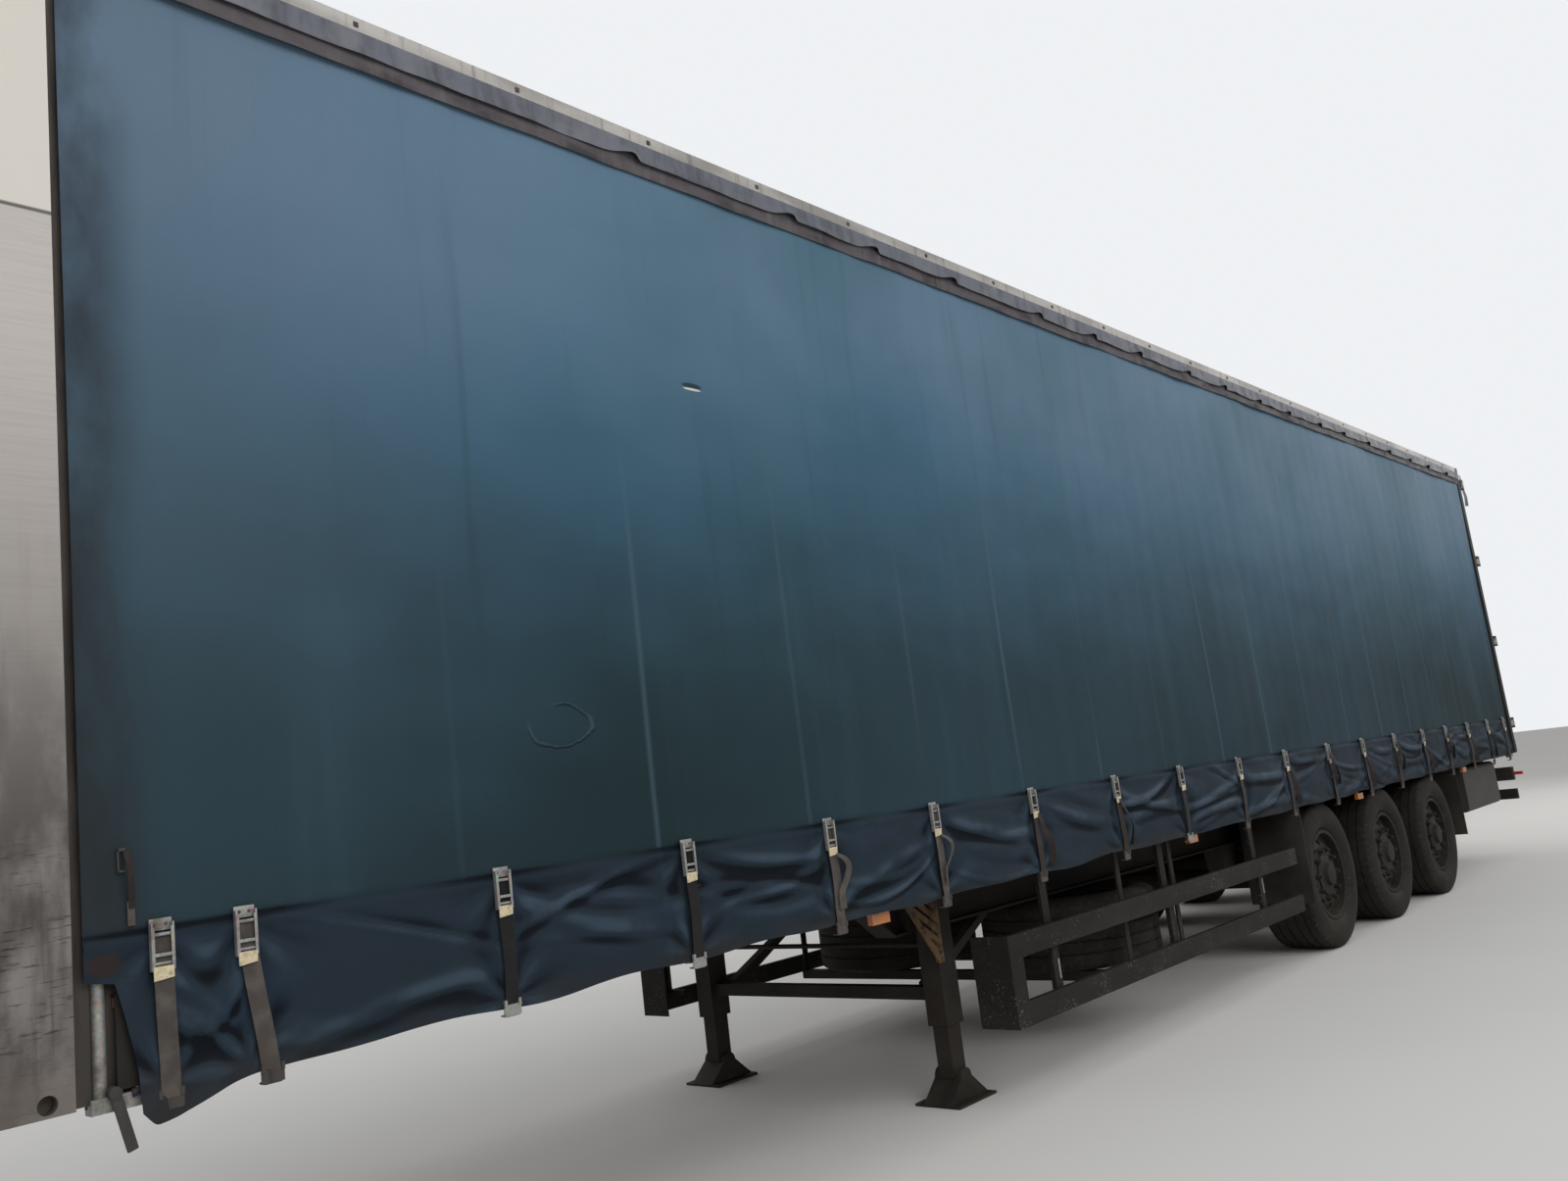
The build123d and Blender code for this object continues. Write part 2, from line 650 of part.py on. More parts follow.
def tyre():
    """A hollow tyre about Z, centred on the origin."""
    half = TYRE_WIDTH / 2
    bead = RIM_WIDTH / 2 - TYRE_RIM_GAP
    seat = RIM_R + TYRE_RIM_GAP
    shoulder = half - 38
    crown = TYRE_R - 12
    inner_half = half - TYRE_WALL
    with BuildPart() as ring:
        with BuildSketch(Plane.XZ) as section:
            with BuildLine():
                Line((seat, -bead), (seat + 26, -bead))
                ThreePointArc((seat + 26, -bead), (388, -half), (crown - 22, -shoulder - 8))
                Line((crown - 22, -shoulder - 8), (crown, -shoulder))
                ThreePointArc((crown, -shoulder), (TYRE_R, 0), (crown, shoulder))
                Line((crown, shoulder), (crown - 22, shoulder + 8))
                ThreePointArc((crown - 22, shoulder + 8), (388, half), (seat + 26, bead))
                Line((seat + 26, bead), (seat, bead))
                Polyline((seat, bead), (seat, bead - 34), (seat + 30, bead - 30))
                ThreePointArc((seat + 30, bead - 30), (392, inner_half), (TYRE_R - 36, 110))
                Line((TYRE_R - 36, 110), (TYRE_R - 36, -110))
                ThreePointArc((TYRE_R - 36, -110), (392, -inner_half), (seat + 30, 30 - bead))
                Polyline((seat + 30, 30 - bead), (seat, 34 - bead), (seat, -bead))
            make_face()
        revolve(axis=Axis.Z)
    return ring.part


def rim(with_hub):
    """A steel wheel about Z, its dish upward, with the hub and brake disc or bare."""
    edge = RIM_WIDTH / 2
    lip = 13
    inner = RIM_R - RIM_METAL
    with BuildPart() as wheel:
        with BuildSketch(Plane.XZ):
            with BuildLine():
                Polyline(
                    (RIM_R, -edge + 30),
                    (RIM_R, -edge),
                    (RIM_FLANGE_R, -edge),
                    (RIM_FLANGE_R, -edge - lip),
                    (inner, -edge - lip),
                    (inner, -edge + 34),
                    (RIM_WELL_R - RIM_METAL, -edge + 64),
                    (RIM_WELL_R - RIM_METAL, edge - 96),
                    (inner, edge - 66),
                    (inner, edge + lip),
                    (RIM_FLANGE_R, edge + lip),
                    (RIM_FLANGE_R, edge),
                    (RIM_R, edge),
                    (RIM_R, edge - 62),
                    (RIM_WELL_R, edge - 92),
                    (RIM_WELL_R, -edge + 60),
                    close=True,
                )
            make_face()
            with BuildLine():
                Polyline(
                    (HUB_BORE_R, DISC_OFFSET),
                    (195, DISC_OFFSET),
                    (235, DISC_OFFSET - 28),
                    (inner + 1, DISC_OFFSET - 28),
                    (inner + 1, DISC_OFFSET - 14),
                    (240, DISC_OFFSET - 14),
                    (200, DISC_OFFSET + DISC_METAL),
                    (HUB_BORE_R, DISC_OFFSET + DISC_METAL),
                    close=True,
                )
            make_face()
        revolve(axis=Axis.Z)
        with BuildSketch(Plane.XY.offset(DISC_OFFSET - 40)):
            with PolarLocations(HAND_HOLE_CIRCLE_R, STUD_COUNT, start_angle=18):
                Circle(HAND_HOLE_R)
        extrude(amount=80, mode=Mode.SUBTRACT)
        if with_hub:
            with BuildSketch(Plane.XZ):
                with BuildLine():
                    bore = SPINDLE_R + SPINDLE_GAP
                    disc_low = BRAKE_DISC_OFFSET
                    disc_high = disc_low + BRAKE_DISC_THICK
                    Polyline(
                        (bore, disc_low),
                        (BRAKE_DISC_R, disc_low),
                        (BRAKE_DISC_R, disc_high),
                        (HUB_R, disc_high),
                        (HUB_R, DISC_OFFSET - 16),
                        (HUB_FLANGE_R, DISC_OFFSET - 16),
                        (HUB_FLANGE_R, DISC_OFFSET),
                        (HUB_BORE_R - 2, DISC_OFFSET),
                        (HUB_BORE_R - 2, DISC_OFFSET + DISC_METAL + 10),
                        (HUB_CAP_R + 8, DISC_OFFSET + DISC_METAL + 22),
                        (HUB_CAP_R, DISC_OFFSET + 62),
                        (0, DISC_OFFSET + 66),
                        (0, DISC_OFFSET + 50),
                        (bore, DISC_OFFSET + 40),
                        close=True,
                    )
                make_face()
            revolve(axis=Axis.Z)
            with BuildSketch(Plane.XY.offset(DISC_OFFSET + DISC_METAL)):
                with PolarLocations(STUD_CIRCLE_R, STUD_COUNT):
                    RegularPolygon(NUT_R, 6)
            extrude(amount=24)
            with BuildSketch(Plane.XY.offset(DISC_OFFSET + DISC_METAL + 24)):
                with PolarLocations(STUD_CIRCLE_R, STUD_COUNT):
                    Circle(STUD_R)
            extrude(amount=14)
        else:
            with BuildSketch(Plane.XY.offset(DISC_OFFSET - 40)):
                with PolarLocations(STUD_CIRCLE_R, STUD_COUNT):
                    Circle(STUD_R + 2)
            extrude(amount=80, mode=Mode.SUBTRACT)
    return wheel.part


def outward(x, side):
    """The plane of a road wheel, its normal pointing out of the trailer."""
    return Plane(origin=(x, side * WHEEL_Y, TYRE_R), x_dir=(1, 0, 0), z_dir=(0, side, 0))


TYRE_SHAPE = tyre()
WHEEL_SHAPE = rim(True)
SPARE_RIM_SHAPE = rim(False)
for side, name in ((1, "left"), (-1, "right")):
    for n, x in enumerate(AXLE_XS, 1):
        with BuildPart() as road_tyre:
            add(TYRE_SHAPE.moved(outward(x, side).location))
        save(road_tyre, f"tyre_{name}_{n}")
        with BuildPart() as road_wheel:
            add(WHEEL_SHAPE.moved(outward(x, side).location))
        save(road_wheel, f"wheel_{name}_{n}")

spare_z = SPARE_UNDER_Z + TYRE_WIDTH / 2
with BuildPart() as spare_tyres:
    for side in SIDES:
        add(TYRE_SHAPE.moved(Location((SPARE_X, side * SPARE_Y, spare_z))))
save(spare_tyres, "spare_tyres")
with BuildPart() as spare_rims:
    for side in SIDES:
        add(SPARE_RIM_SHAPE.moved(Location((SPARE_X, side * SPARE_Y, spare_z))))
save(spare_rims, "spare_rims")

# Axle tubes with spindles and brake calipers
with BuildPart() as axle_beams:
    for radius, reach in ((AXLE_TUBE_R, AXLE_TUBE_END_Y), (SPINDLE_R, WHEEL_Y + DISC_OFFSET + 30)):
        with BuildSketch(Plane.XZ):
            with Locations(*[(x, TYRE_R) for x in AXLE_XS]):
                Circle(radius)
        extrude(amount=reach, both=True)
save(axle_beams, "axle_beams")

# Hangers below the beams, one ahead of each axle on each side
SPRING_PLANES = [upright(x, side * SPRING_Y) for x in AXLE_XS for side in SIDES]
with BuildPart() as suspension_hangers:
    with BuildSketch(*SPRING_PLANES):
        with BuildLine():
            Polyline(
                (HANGER_AHEAD - 60, HANGER_PIVOT_Z - 60),
                (HANGER_AHEAD + 60, HANGER_PIVOT_Z - 60),
                (HANGER_AHEAD + 130, BEAM_FOOT_Z),
                (HANGER_AHEAD - 130, BEAM_FOOT_Z),
                close=True,
            )
        make_face()
    extrude(amount=ARM_WIDTH / 2 + 10, both=True)
    with BuildSketch(*SPRING_PLANES):
        with BuildLine():
            Polyline(
                (HANGER_AHEAD - 140, HANGER_PIVOT_Z - 70),
                (HANGER_AHEAD + 65, HANGER_PIVOT_Z - 70),
                (HANGER_AHEAD + 65, BEAM_FOOT_Z - 60),
                (HANGER_AHEAD - 140, BEAM_FOOT_Z - 60),
                close=True,
            )
        make_face()
    extrude(amount=ARM_WIDTH / 2 + 1, both=True, mode=Mode.SUBTRACT)
save(suspension_hangers, "suspension_hangers")

with BuildPart() as trailing_arms:
    saddle_z = TYRE_R + AXLE_TUBE_R + 1
    with BuildSketch(*SPRING_PLANES):
        with BuildLine():
            Polyline(
                (HANGER_AHEAD + 50, HANGER_PIVOT_Z - 40),
                (HANGER_AHEAD + 50, HANGER_PIVOT_Z + 40),
                (110, saddle_z + ARM_HEIGHT),
                (-110, saddle_z + ARM_HEIGHT),
                (SPRING_R - SPRING_BEHIND + 6, SPRING_FOOT_Z),
                (-SPRING_BEHIND - 60, SPRING_FOOT_Z),
                (-SPRING_BEHIND - 60, SPRING_FOOT_Z - ARM_TAIL),
                (SPRING_R - SPRING_BEHIND - 10, SPRING_FOOT_Z - ARM_TAIL),
                (-120, saddle_z),
                (120, saddle_z),
                close=True,
            )
        make_face()
    extrude(amount=ARM_WIDTH / 2, both=True)
save(trailing_arms, "trailing_arms")

with BuildPart() as air_springs:
    with BuildSketch(Plane.XY.offset(SPRING_FOOT_Z)):
        with Locations(*[(x - SPRING_BEHIND, side * SPRING_Y) for x in AXLE_XS for side in SIDES]):
            Circle(SPRING_R)
    extrude(amount=BEAM_FOOT_Z - SPRING_FOOT_Z)
save(air_springs, "air_springs")

# Landing legs with brackets, tie and struts
with BuildPart() as landing_legs:
    leg_inner = LEG_Y - LEG_WIDTH_Y / 2
    blocks(
        (LEG_X - LEG_LENGTH_X / 2, leg_inner, LEG_FOOT_Z),
        (LEG_X + LEG_LENGTH_X / 2, LEG_Y + LEG_WIDTH_Y / 2, LEG_TOP_Z),
        SIDES,
    )
    blocks(
        (LEG_X - 110, BEAM_Y + BEAM_WEB / 2, BEAM_FOOT_Z + BEAM_FLANGE_THICK),
        (LEG_X + 110, leg_inner, LEG_TOP_Z),
        SIDES,
    )
    with BuildSketch(*[upright(LEG_X, side * BEAM_Y) for side in SIDES]):
        with BuildLine():
            Polyline(
                (-TIE_SIZE / 2, TIE_Z - 20),
                (-TIE_SIZE / 2, TIE_Z + 40),
                (-560, BEAM_FOOT_Z),
                (-640, BEAM_FOOT_Z),
                close=True,
            )
        make_face()
    extrude(amount=25, both=True)
    blocks(
        (LEG_X - TIE_SIZE / 2, -leg_inner, TIE_Z - TIE_SIZE / 2),
        (LEG_X + TIE_SIZE / 2, leg_inner, TIE_Z + TIE_SIZE / 2),
    )
save(landing_legs, "landing_legs")

with BuildPart() as landing_feet:
    blocks(
        (LEG_X - INNER_LEG_X / 2, LEG_Y - INNER_LEG_Y / 2, FOOT_PIN_Z),
        (LEG_X + INNER_LEG_X / 2, LEG_Y + INNER_LEG_Y / 2, LEG_FOOT_Z),
        SIDES,
    )
    with BuildSketch(*[upright(LEG_X, side * LEG_Y) for side in SIDES]):
        with Locations((0, FOOT_PIN_Z)):
            Circle(FOOT_PIN_R + 14)
        with BuildLine():
            Polyline(
                (-FOOT_PLATE_LENGTH / 2, 0),
                (FOOT_PLATE_LENGTH / 2, 0),
                (FOOT_PLATE_LENGTH / 2, FOOT_PLATE_THICK),
                (42, FOOT_PIN_Z),
                (-42, FOOT_PIN_Z),
                (-FOOT_PLATE_LENGTH / 2, FOOT_PLATE_THICK),
                close=True,
            )
        make_face()
    extrude(amount=FOOT_PLATE_WIDTH / 2 - 50, both=True)
    blocks(
        (LEG_X - FOOT_PLATE_LENGTH / 2, LEG_Y - FOOT_PLATE_WIDTH / 2, 0),
        (LEG_X + FOOT_PLATE_LENGTH / 2, LEG_Y + FOOT_PLATE_WIDTH / 2, FOOT_PLATE_THICK),
        SIDES,
    )
save(landing_feet, "landing_feet")

with BuildPart() as landing_crank:
    shaft_y = LEG_Y - LEG_WIDTH_Y / 2
    with BuildSketch(Plane.XZ):
        with Locations((LEG_X, CRANK_Z)):
            Circle(CRANK_SHAFT_R)
    extrude(amount=shaft_y, both=True)
    with BuildSketch(Plane.XZ.offset(LEG_Y + LEG_WIDTH_Y / 2)):
        with Locations((LEG_X, CRANK_Z)):
            Circle(CRANK_SHAFT_R)
    extrude(amount=300)
    blocks((LEG_X - 12, -1142, CRANK_Z - 230), (LEG_X + 12, -1118, CRANK_Z + 12))
    blocks((LEG_X - 12, -1142, CRANK_Z - 254), (LEG_X + 12, -1000, CRANK_Z - 230))
save(landing_crank, "landing_crank")

# Side guards: two rails each side on brackets from the cross members
with BuildPart() as side_guards:
    inner_y = GUARD_OUTER_Y - GUARD_THICK
    guard_top = GUARD_UPPER_Z + GUARD_RAIL_HEIGHT
    blocks(
        (GUARD_REAR_X, inner_y, 0),
        (GUARD_FRONT_X, GUARD_OUTER_Y, GUARD_RAIL_HEIGHT),
        SIDES,
        zs=(GUARD_UPPER_Z, GUARD_LOWER_Z),
    )
    blocks(
        (GUARD_FRONT_X, GUARD_OUTER_Y - GUARD_END_DEPTH, GUARD_LOWER_Z),
        (GUARD_FRONT_X + 6, GUARD_OUTER_Y, guard_top),
        SIDES,
    )
    blocks((GUARD_FRONT_X - 100, inner_y, GUARD_LOWER_Z), (GUARD_FRONT_X, GUARD_OUTER_Y, guard_top), SIDES)
    post_half = GUARD_POST_WIDTH / 2
    post_xs = [MEMBER_XS[member] for member in GUARD_POST_MEMBERS]
    post_y = inner_y - GUARD_POST_THICK
    blocks((-post_half, post_y, GUARD_LOWER_Z), (post_half, inner_y, guard_top), SIDES, xs=post_xs)
    hanger_foot = (-post_half, post_y - 10, GUARD_UPPER_Z)
    blocks(hanger_foot, (post_half, inner_y - 16, MEMBER_FOOT_Z), SIDES, xs=post_xs)
save(side_guards, "side_guards")

# Carrier under the spare wheels, hung from the cross members
with BuildPart() as spare_carrier:
    bar_y = SPARE_Y + TYRE_R + 25
    bar_top = SPARE_UNDER_Z - SPARE_SEAT_GAP
    carrier_xs = (SPARE_X - CARRIER_SPREAD, SPARE_X + CARRIER_SPREAD)
    blocks(
        (-CARRIER_BAR_WIDTH / 2, -bar_y - 15, bar_top - CARRIER_BAR_HEIGHT),
        (CARRIER_BAR_WIDTH / 2, bar_y + 15, bar_top),
        xs=carrier_xs,
    )
    blocks((-20, bar_y - 6, bar_top), (20, bar_y + 6, MEMBER_FOOT_Z), (1, 0, -1), xs=carrier_xs)
save(spare_carrier, "spare_carrier")

# Air tanks between the beams
with BuildPart() as air_tanks:
    with BuildSketch(Plane.XZ):
        with Locations(*[(x, TANK_Z) for x in TANK_XS]):
            Circle(TANK_R)
    extrude(amount=TANK_LENGTH / 2, both=True)
    band_y = TANK_LENGTH / 3
    blocks((-30, band_y - 20, TANK_Z + TANK_R - 20), (30, band_y + 20, MEMBER_FOOT_Z), SIDES, xs=TANK_XS)
save(air_tanks, "air_tanks")

# Closed storage box behind the left wheels
with BuildPart() as tool_box:
    blocks(
        (BOX_FRONT_X - BOX_LENGTH, BOX_OUTER_Y - BOX_DEPTH, BOX_FOOT_Z),
        (BOX_FRONT_X, BOX_OUTER_Y, BOX_FOOT_Z + BOX_HEIGHT),
    )
    fillet(tool_box.edges().filter_by(Axis.X), radius=40)
    strap_xs = (BOX_FRONT_X - 200, BOX_FRONT_X - BOX_LENGTH + 200)
    strap_foot = BOX_FOOT_Z + BOX_HEIGHT - 10
    for y in (BOX_OUTER_Y - 120, BOX_OUTER_Y - BOX_DEPTH + 80):
        blocks((-25, y - 5, strap_foot), (25, y + 5, MEMBER_FOOT_Z), xs=strap_xs)
save(tool_box, "tool_box")

# Mudflaps behind the last wheels, on tubes from the beams
with BuildPart() as mudflaps:
    blocks((FLAP_X - FLAP_THICK, FLAP_INNER_Y, FLAP_FOOT_Z), (FLAP_X, FLAP_OUTER_Y, FLAP_TOP_Z), SIDES)
    tube_length = FLAP_OUTER_Y - BEAM_Y - BEAM_WEB / 2
    tube_y = (FLAP_OUTER_Y + BEAM_Y + BEAM_WEB / 2) / 2
    with BuildSketch(*[upright(FLAP_X + FLAP_TUBE_R, side * tube_y) for side in SIDES]):
        with Locations((0, FLAP_TOP_Z - FLAP_TUBE_R)):
            Circle(FLAP_TUBE_R)
    extrude(amount=tube_length / 2, both=True)
save(mudflaps, "mudflaps")

# Underrun bar on arms below the tail of the beams
with BuildPart() as underrun_bar:
    bar_front = UNDERRUN_REAR_X + UNDERRUN_DEPTH
    blocks(
        (UNDERRUN_REAR_X, -UNDERRUN_HALF, UNDERRUN_Z),
        (bar_front, UNDERRUN_HALF, UNDERRUN_Z + UNDERRUN_HEIGHT),
    )
    arm_low = UNDERRUN_Z + 10
    arm_high = UNDERRUN_Z + UNDERRUN_HEIGHT - 10
    blocks((bar_front, BEAM_Y - 40, arm_low), (BEAM_REAR_X + 110, BEAM_Y + 40, arm_high), SIDES)
    blocks((BEAM_REAR_X + 10, BEAM_Y - 40, arm_low), (BEAM_REAR_X + 110, BEAM_Y + 40, BEAM_TAIL_Z - 6), SIDES)
save(underrun_bar, "underrun_bar")

# Lamp beam hung below the rear sill, with its lamps
with BuildPart() as lamp_beam:
    beam_top = LAMP_BEAM_Z + LAMP_BEAM_HEIGHT
    blocks(
        (LAMP_BEAM_REAR_X, -LAMP_BEAM_HALF, LAMP_BEAM_Z),
        (LAMP_BEAM_REAR_X + LAMP_BEAM_DEPTH, LAMP_BEAM_HALF, beam_top),
    )
    for y in (300, 900):
        blocks((FRAME_X, y - 40, beam_top), (FRAME_X + 10, y + 40, FRAME_FOOT_Z), SIDES)
save(lamp_beam, "lamp_beam")

with BuildPart() as rear_lamps:
    blocks(
        (LAMP_BEAM_REAR_X - LAMP_DEPTH, 790, LAMP_BEAM_Z + 12),
        (LAMP_BEAM_REAR_X, 1190, LAMP_BEAM_Z + LAMP_BEAM_HEIGHT - 12),
        SIDES,
    )
    blocks(
        (LAMP_BEAM_REAR_X + 25, LAMP_BEAM_HALF, LAMP_BEAM_Z + 50),
        (LAMP_BEAM_REAR_X + 55, HALF_WIDTH + 10, LAMP_BEAM_Z + 80),
        SIDES,
    )
save(rear_lamps, "rear_lamps")

with BuildPart() as side_markers:
    marker_xs = [POST_X - station for station in MARKER_STATIONS]
    marker_y = RAVE_OUTER_Y - RAVE_LIP + 2
    marker_z = RAVE_FOOT_Z - 70
    half = MARKER_LENGTH / 2
    blocks(
        (-half, marker_y, marker_z),
        (half, marker_y + MARKER_DEPTH, marker_z + MARKER_HEIGHT),
        SIDES,
        xs=marker_xs,
    )
    blocks((-20, marker_y, marker_z + MARKER_HEIGHT), (20, marker_y + 4, RAVE_FOOT_Z), SIDES, xs=marker_xs)
save(side_markers, "side_markers")
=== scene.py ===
"""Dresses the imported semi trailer: side curtains, webbing, tread, small fittings and finishes."""

import math

import bpy
import numpy as np
from bpy.props import FloatProperty, FloatVectorProperty, IntProperty, PointerProperty
from mathutils import Matrix, Vector


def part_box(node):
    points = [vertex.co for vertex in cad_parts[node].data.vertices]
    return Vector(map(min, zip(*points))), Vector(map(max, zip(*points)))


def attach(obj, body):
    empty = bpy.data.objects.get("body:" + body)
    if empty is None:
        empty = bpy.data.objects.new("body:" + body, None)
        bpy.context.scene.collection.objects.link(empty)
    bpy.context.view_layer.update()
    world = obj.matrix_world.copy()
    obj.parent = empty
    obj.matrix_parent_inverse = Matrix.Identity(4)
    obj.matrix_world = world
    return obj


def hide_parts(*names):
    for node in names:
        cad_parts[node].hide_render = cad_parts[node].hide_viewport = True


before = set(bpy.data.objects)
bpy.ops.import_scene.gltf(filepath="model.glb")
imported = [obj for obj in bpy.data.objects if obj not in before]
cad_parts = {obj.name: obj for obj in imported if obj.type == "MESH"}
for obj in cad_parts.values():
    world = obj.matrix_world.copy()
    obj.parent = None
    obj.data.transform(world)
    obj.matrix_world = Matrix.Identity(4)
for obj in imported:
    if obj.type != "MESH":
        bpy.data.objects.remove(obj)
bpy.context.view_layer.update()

bl_info = {
    "name": "Curtain Trailer Dressing",
    "version": (1, 0, 0),
    "blender": (4, 5, 0),
    "location": "3D View > Sidebar > Trailer",
    "description": "Cloth, webbing, tread, fittings and finishes for a curtain-sided semi trailer",
    "category": "Object",
}

# Lengths in metres. Stations are measured rearward from FRONT_POST_X, heights from the ground.
SIDES = {1: "left", -1: "right"}
FRONT_POST_X = 6.725
CURTAIN_Y = 1.258
CURTAIN_FRONT = 0.027
CURTAIN_REAR = 13.385
CURTAIN_TOP = 3.937
SEAM_Z = 1.352
SKIRT_TOP = SEAM_Z + 0.03
RAIL_TOP = 4.0

# Buckles: station, lean of the strap's foot, webbing, tail
BUCKLES = (
    (0.194, 0.010, "grey", "none"),
    (0.393, 0.052, "grey", "none"),
    (1.150, 0.004, "black", "none"),
    (1.895, 0.006, "black", "none"),
    (2.632, 0.012, "grey", "curl"),
    (3.319, 0.016, "grey", "curl"),
    (4.109, 0.006, "dark", "wisp"),
    (4.927, 0.020, "dark", "wisp"),
    (5.700, 0.004, "black", "none"),
    (6.517, 0.000, "dark", "none"),
    (7.282, 0.026, "dark", "wisp"),
    (8.086, 0.040, "dark", "knot"),
    (8.835, 0.034, "dark", "wisp"),
    (9.609, 0.010, "dark", "knot"),
    (10.378, 0.022, "dark", "wisp"),
    (11.082, 0.008, "dark", "knot"),
    (11.809, 0.016, "dark", "wisp"),
    (12.531, 0.010, "dark", "wisp"),
    (13.179, 0.006, "dark", "none"),
)
STATIONS = np.array([row[0] for row in BUCKLES])
STRAP_TOP = 1.335
STRAP_FOOT = 0.975
# The loose tail of each kind: length and starting height of every end that hangs out
TAILS = {
    "none": (),
    "curl": ((0.20, 1.232),),
    "wisp": ((0.24, 1.250),),
    "knot": ((0.22, 1.300), (0.17, 1.300)),
}
# On the right the open door lies over the last straps, whose ends are tied away
RIGHT_TAILS_END = 12.0

AXLE_XS = (-1.204, -2.514, -3.824)
WHEELS = [(side, n, x) for side in SIDES for n, x in enumerate(AXLE_XS, 1)]
WHEEL_Y = 1.020
TYRE_R = 0.490


# Sizes and colours that a user would change

def colour_setting(name, description, default):
    """A colour in the panel."""
    return FloatVectorProperty(
        name=name, description=description, subtype="COLOR", default=default, min=0.0, max=1.0)


def length_setting(name, description, default, low, high):
    """A length in the panel, with its limits."""
    return FloatProperty(
        name=name, description=description, unit="LENGTH", default=default, min=low, max=high)


class ClothSettings(bpy.types.PropertyGroup):
    colour: colour_setting("Curtain colour", "Coated cloth of the side curtains", (0.040, 0.104, 0.164))
    valance_colour: colour_setting(
        "Valance colour", "Flap that covers the curtain runners", (0.100, 0.110, 0.135))
    roof_colour: colour_setting("Roof colour", "Coated cloth of the roof", (0.50, 0.51, 0.50))
    thickness: length_setting("Cloth thickness", "Thickness of the curtain cloth", 0.003, 0.001, 0.01)
    fold: length_setting("Fold depth", "How far the skirt's folds stand out", 0.022, 0.0, 0.04)
    valance_drop: length_setting("Valance drop", "Height of the flap below the roof rail", 0.125, 0.05, 0.25)
    columns: IntProperty(
        name="Columns", description="Cloth divisions along the trailer", default=880, min=100, max=900)


class WebbingSettings(bpy.types.PropertyGroup):
    grey: colour_setting("Grey webbing", "Faded strap", (0.066, 0.056, 0.049))
    black: colour_setting("Black webbing", "Newer strap", (0.006, 0.006, 0.007))
    width: length_setting("Webbing width", "Width of a strap", 0.045, 0.02, 0.06)
    thickness: length_setting("Webbing thickness", "Thickness of a strap", 0.0022, 0.001, 0.004)


class TreadSettings(bpy.types.PropertyGroup):
    groove_depth: length_setting("Groove depth", "Depth left in the worn tread", 0.009, 0.002, 0.016)
    blocks: IntProperty(
        name="Shoulder blocks", description="Shoulder notches round one tyre", default=60, min=20, max=90)


class StageSettings(bpy.types.PropertyGroup):
    floor_colour: colour_setting("Floor colour", "Plain pale floor", (0.72, 0.71, 0.69))
    backdrop_colour: colour_setting("Backdrop colour", "Plain pale backdrop", (0.86, 0.88, 0.90))
    ambient: FloatProperty(
        name="Ambient light", description="Strength of the even light all round", default=0.52,
        min=0.0, max=3.0)
    reflected: FloatProperty(
        name="Reflected light", description="Strength of the surroundings in reflections", default=0.22,
        min=0.0, max=3.0)
    key_power: FloatProperty(
        name="Key light", description="Power of the large soft lamp on the left side", unit="POWER",
        default=1050.0, min=0.0, max=20000.0)


# Modelling helpers

def deselect_all():
    """Leaves nothing selected, so that an operator acts only on what comes next."""
    if bpy.context.object and bpy.context.object.mode != "OBJECT":
        bpy.ops.object.mode_set(mode="OBJECT")
    bpy.ops.object.select_all(action="DESELECT")


def make_active(piece):
    """Selects one piece alone."""
    deselect_all()
    piece.select_set(True)
    bpy.context.view_layer.objects.active = piece


def modified(piece, kind, **settings):
    """Puts one modifier on a piece and applies it."""
    modifier = piece.modifiers.new("shape", kind)
    for name, value in settings.items():
        setattr(modifier, name, value)
    make_active(piece)
    bpy.ops.object.modifier_apply(modifier=modifier.name)
    return piece


def bevelled(piece, width, angle=30):
    """Rounds the edges of a piece that turn by more than an angle."""
    return modified(piece, "BEVEL", width=width, segments=2, limit_method="ANGLE",
                    angle_limit=math.radians(angle))


def thicken(piece, thickness):
    """Gives a sheet its thickness, half to each side."""
    return modified(piece, "SOLIDIFY", thickness=thickness, offset=0.0)


def edit(piece, operator, **settings):
    """Runs one mesh operator on the whole of a piece."""
    make_active(piece)
    bpy.ops.object.mode_set(mode="EDIT")
    bpy.ops.mesh.select_all(action="SELECT")
    operator(**settings)
    bpy.ops.object.mode_set(mode="OBJECT")


def settle(piece):
    """Puts a piece's place, turn and size into its mesh."""
    make_active(piece)
    bpy.ops.object.transform_apply(location=True, rotation=True, scale=True)
    return piece


def bar(low, high, bevel=0.0):
    """A block between two corners, with rounded edges."""
    deselect_all()
    bpy.ops.mesh.primitive_cube_add(size=1, location=[(a + b) / 2 for a, b in zip(low, high)])
    piece = bpy.context.object
    piece.scale = [abs(b - a) for a, b in zip(low, high)]
    settle(piece)
    return bevelled(piece, bevel) if bevel else piece


def rod(start, end, radius, sides=16, taper=1.0, bevel=0.0):
    """A round bar from one point to another, its far end tapered."""
    deselect_all()
    start, end = Vector(start), Vector(end)
    run = end - start
    bpy.ops.mesh.primitive_cone_add(
        vertices=sides, radius1=radius, radius2=radius * taper, depth=run.length, location=(start + end) / 2,
        rotation=run.to_track_quat("Z", "Y").to_euler())
    piece = settle(bpy.context.object)
    return bevelled(piece, bevel, 50) if bevel else piece


def named(piece, name):
    """Gives a piece and its mesh one name."""
    piece.name = name
    piece.data.name = name
    return piece


def join(pieces, name):
    """Joins pieces into one, named."""
    deselect_all()
    for piece in pieces:
        piece.select_set(True)
    bpy.context.view_layer.objects.active = pieces[0]
    if len(pieces) > 1:
        bpy.ops.object.join()
    return named(bpy.context.object, name)


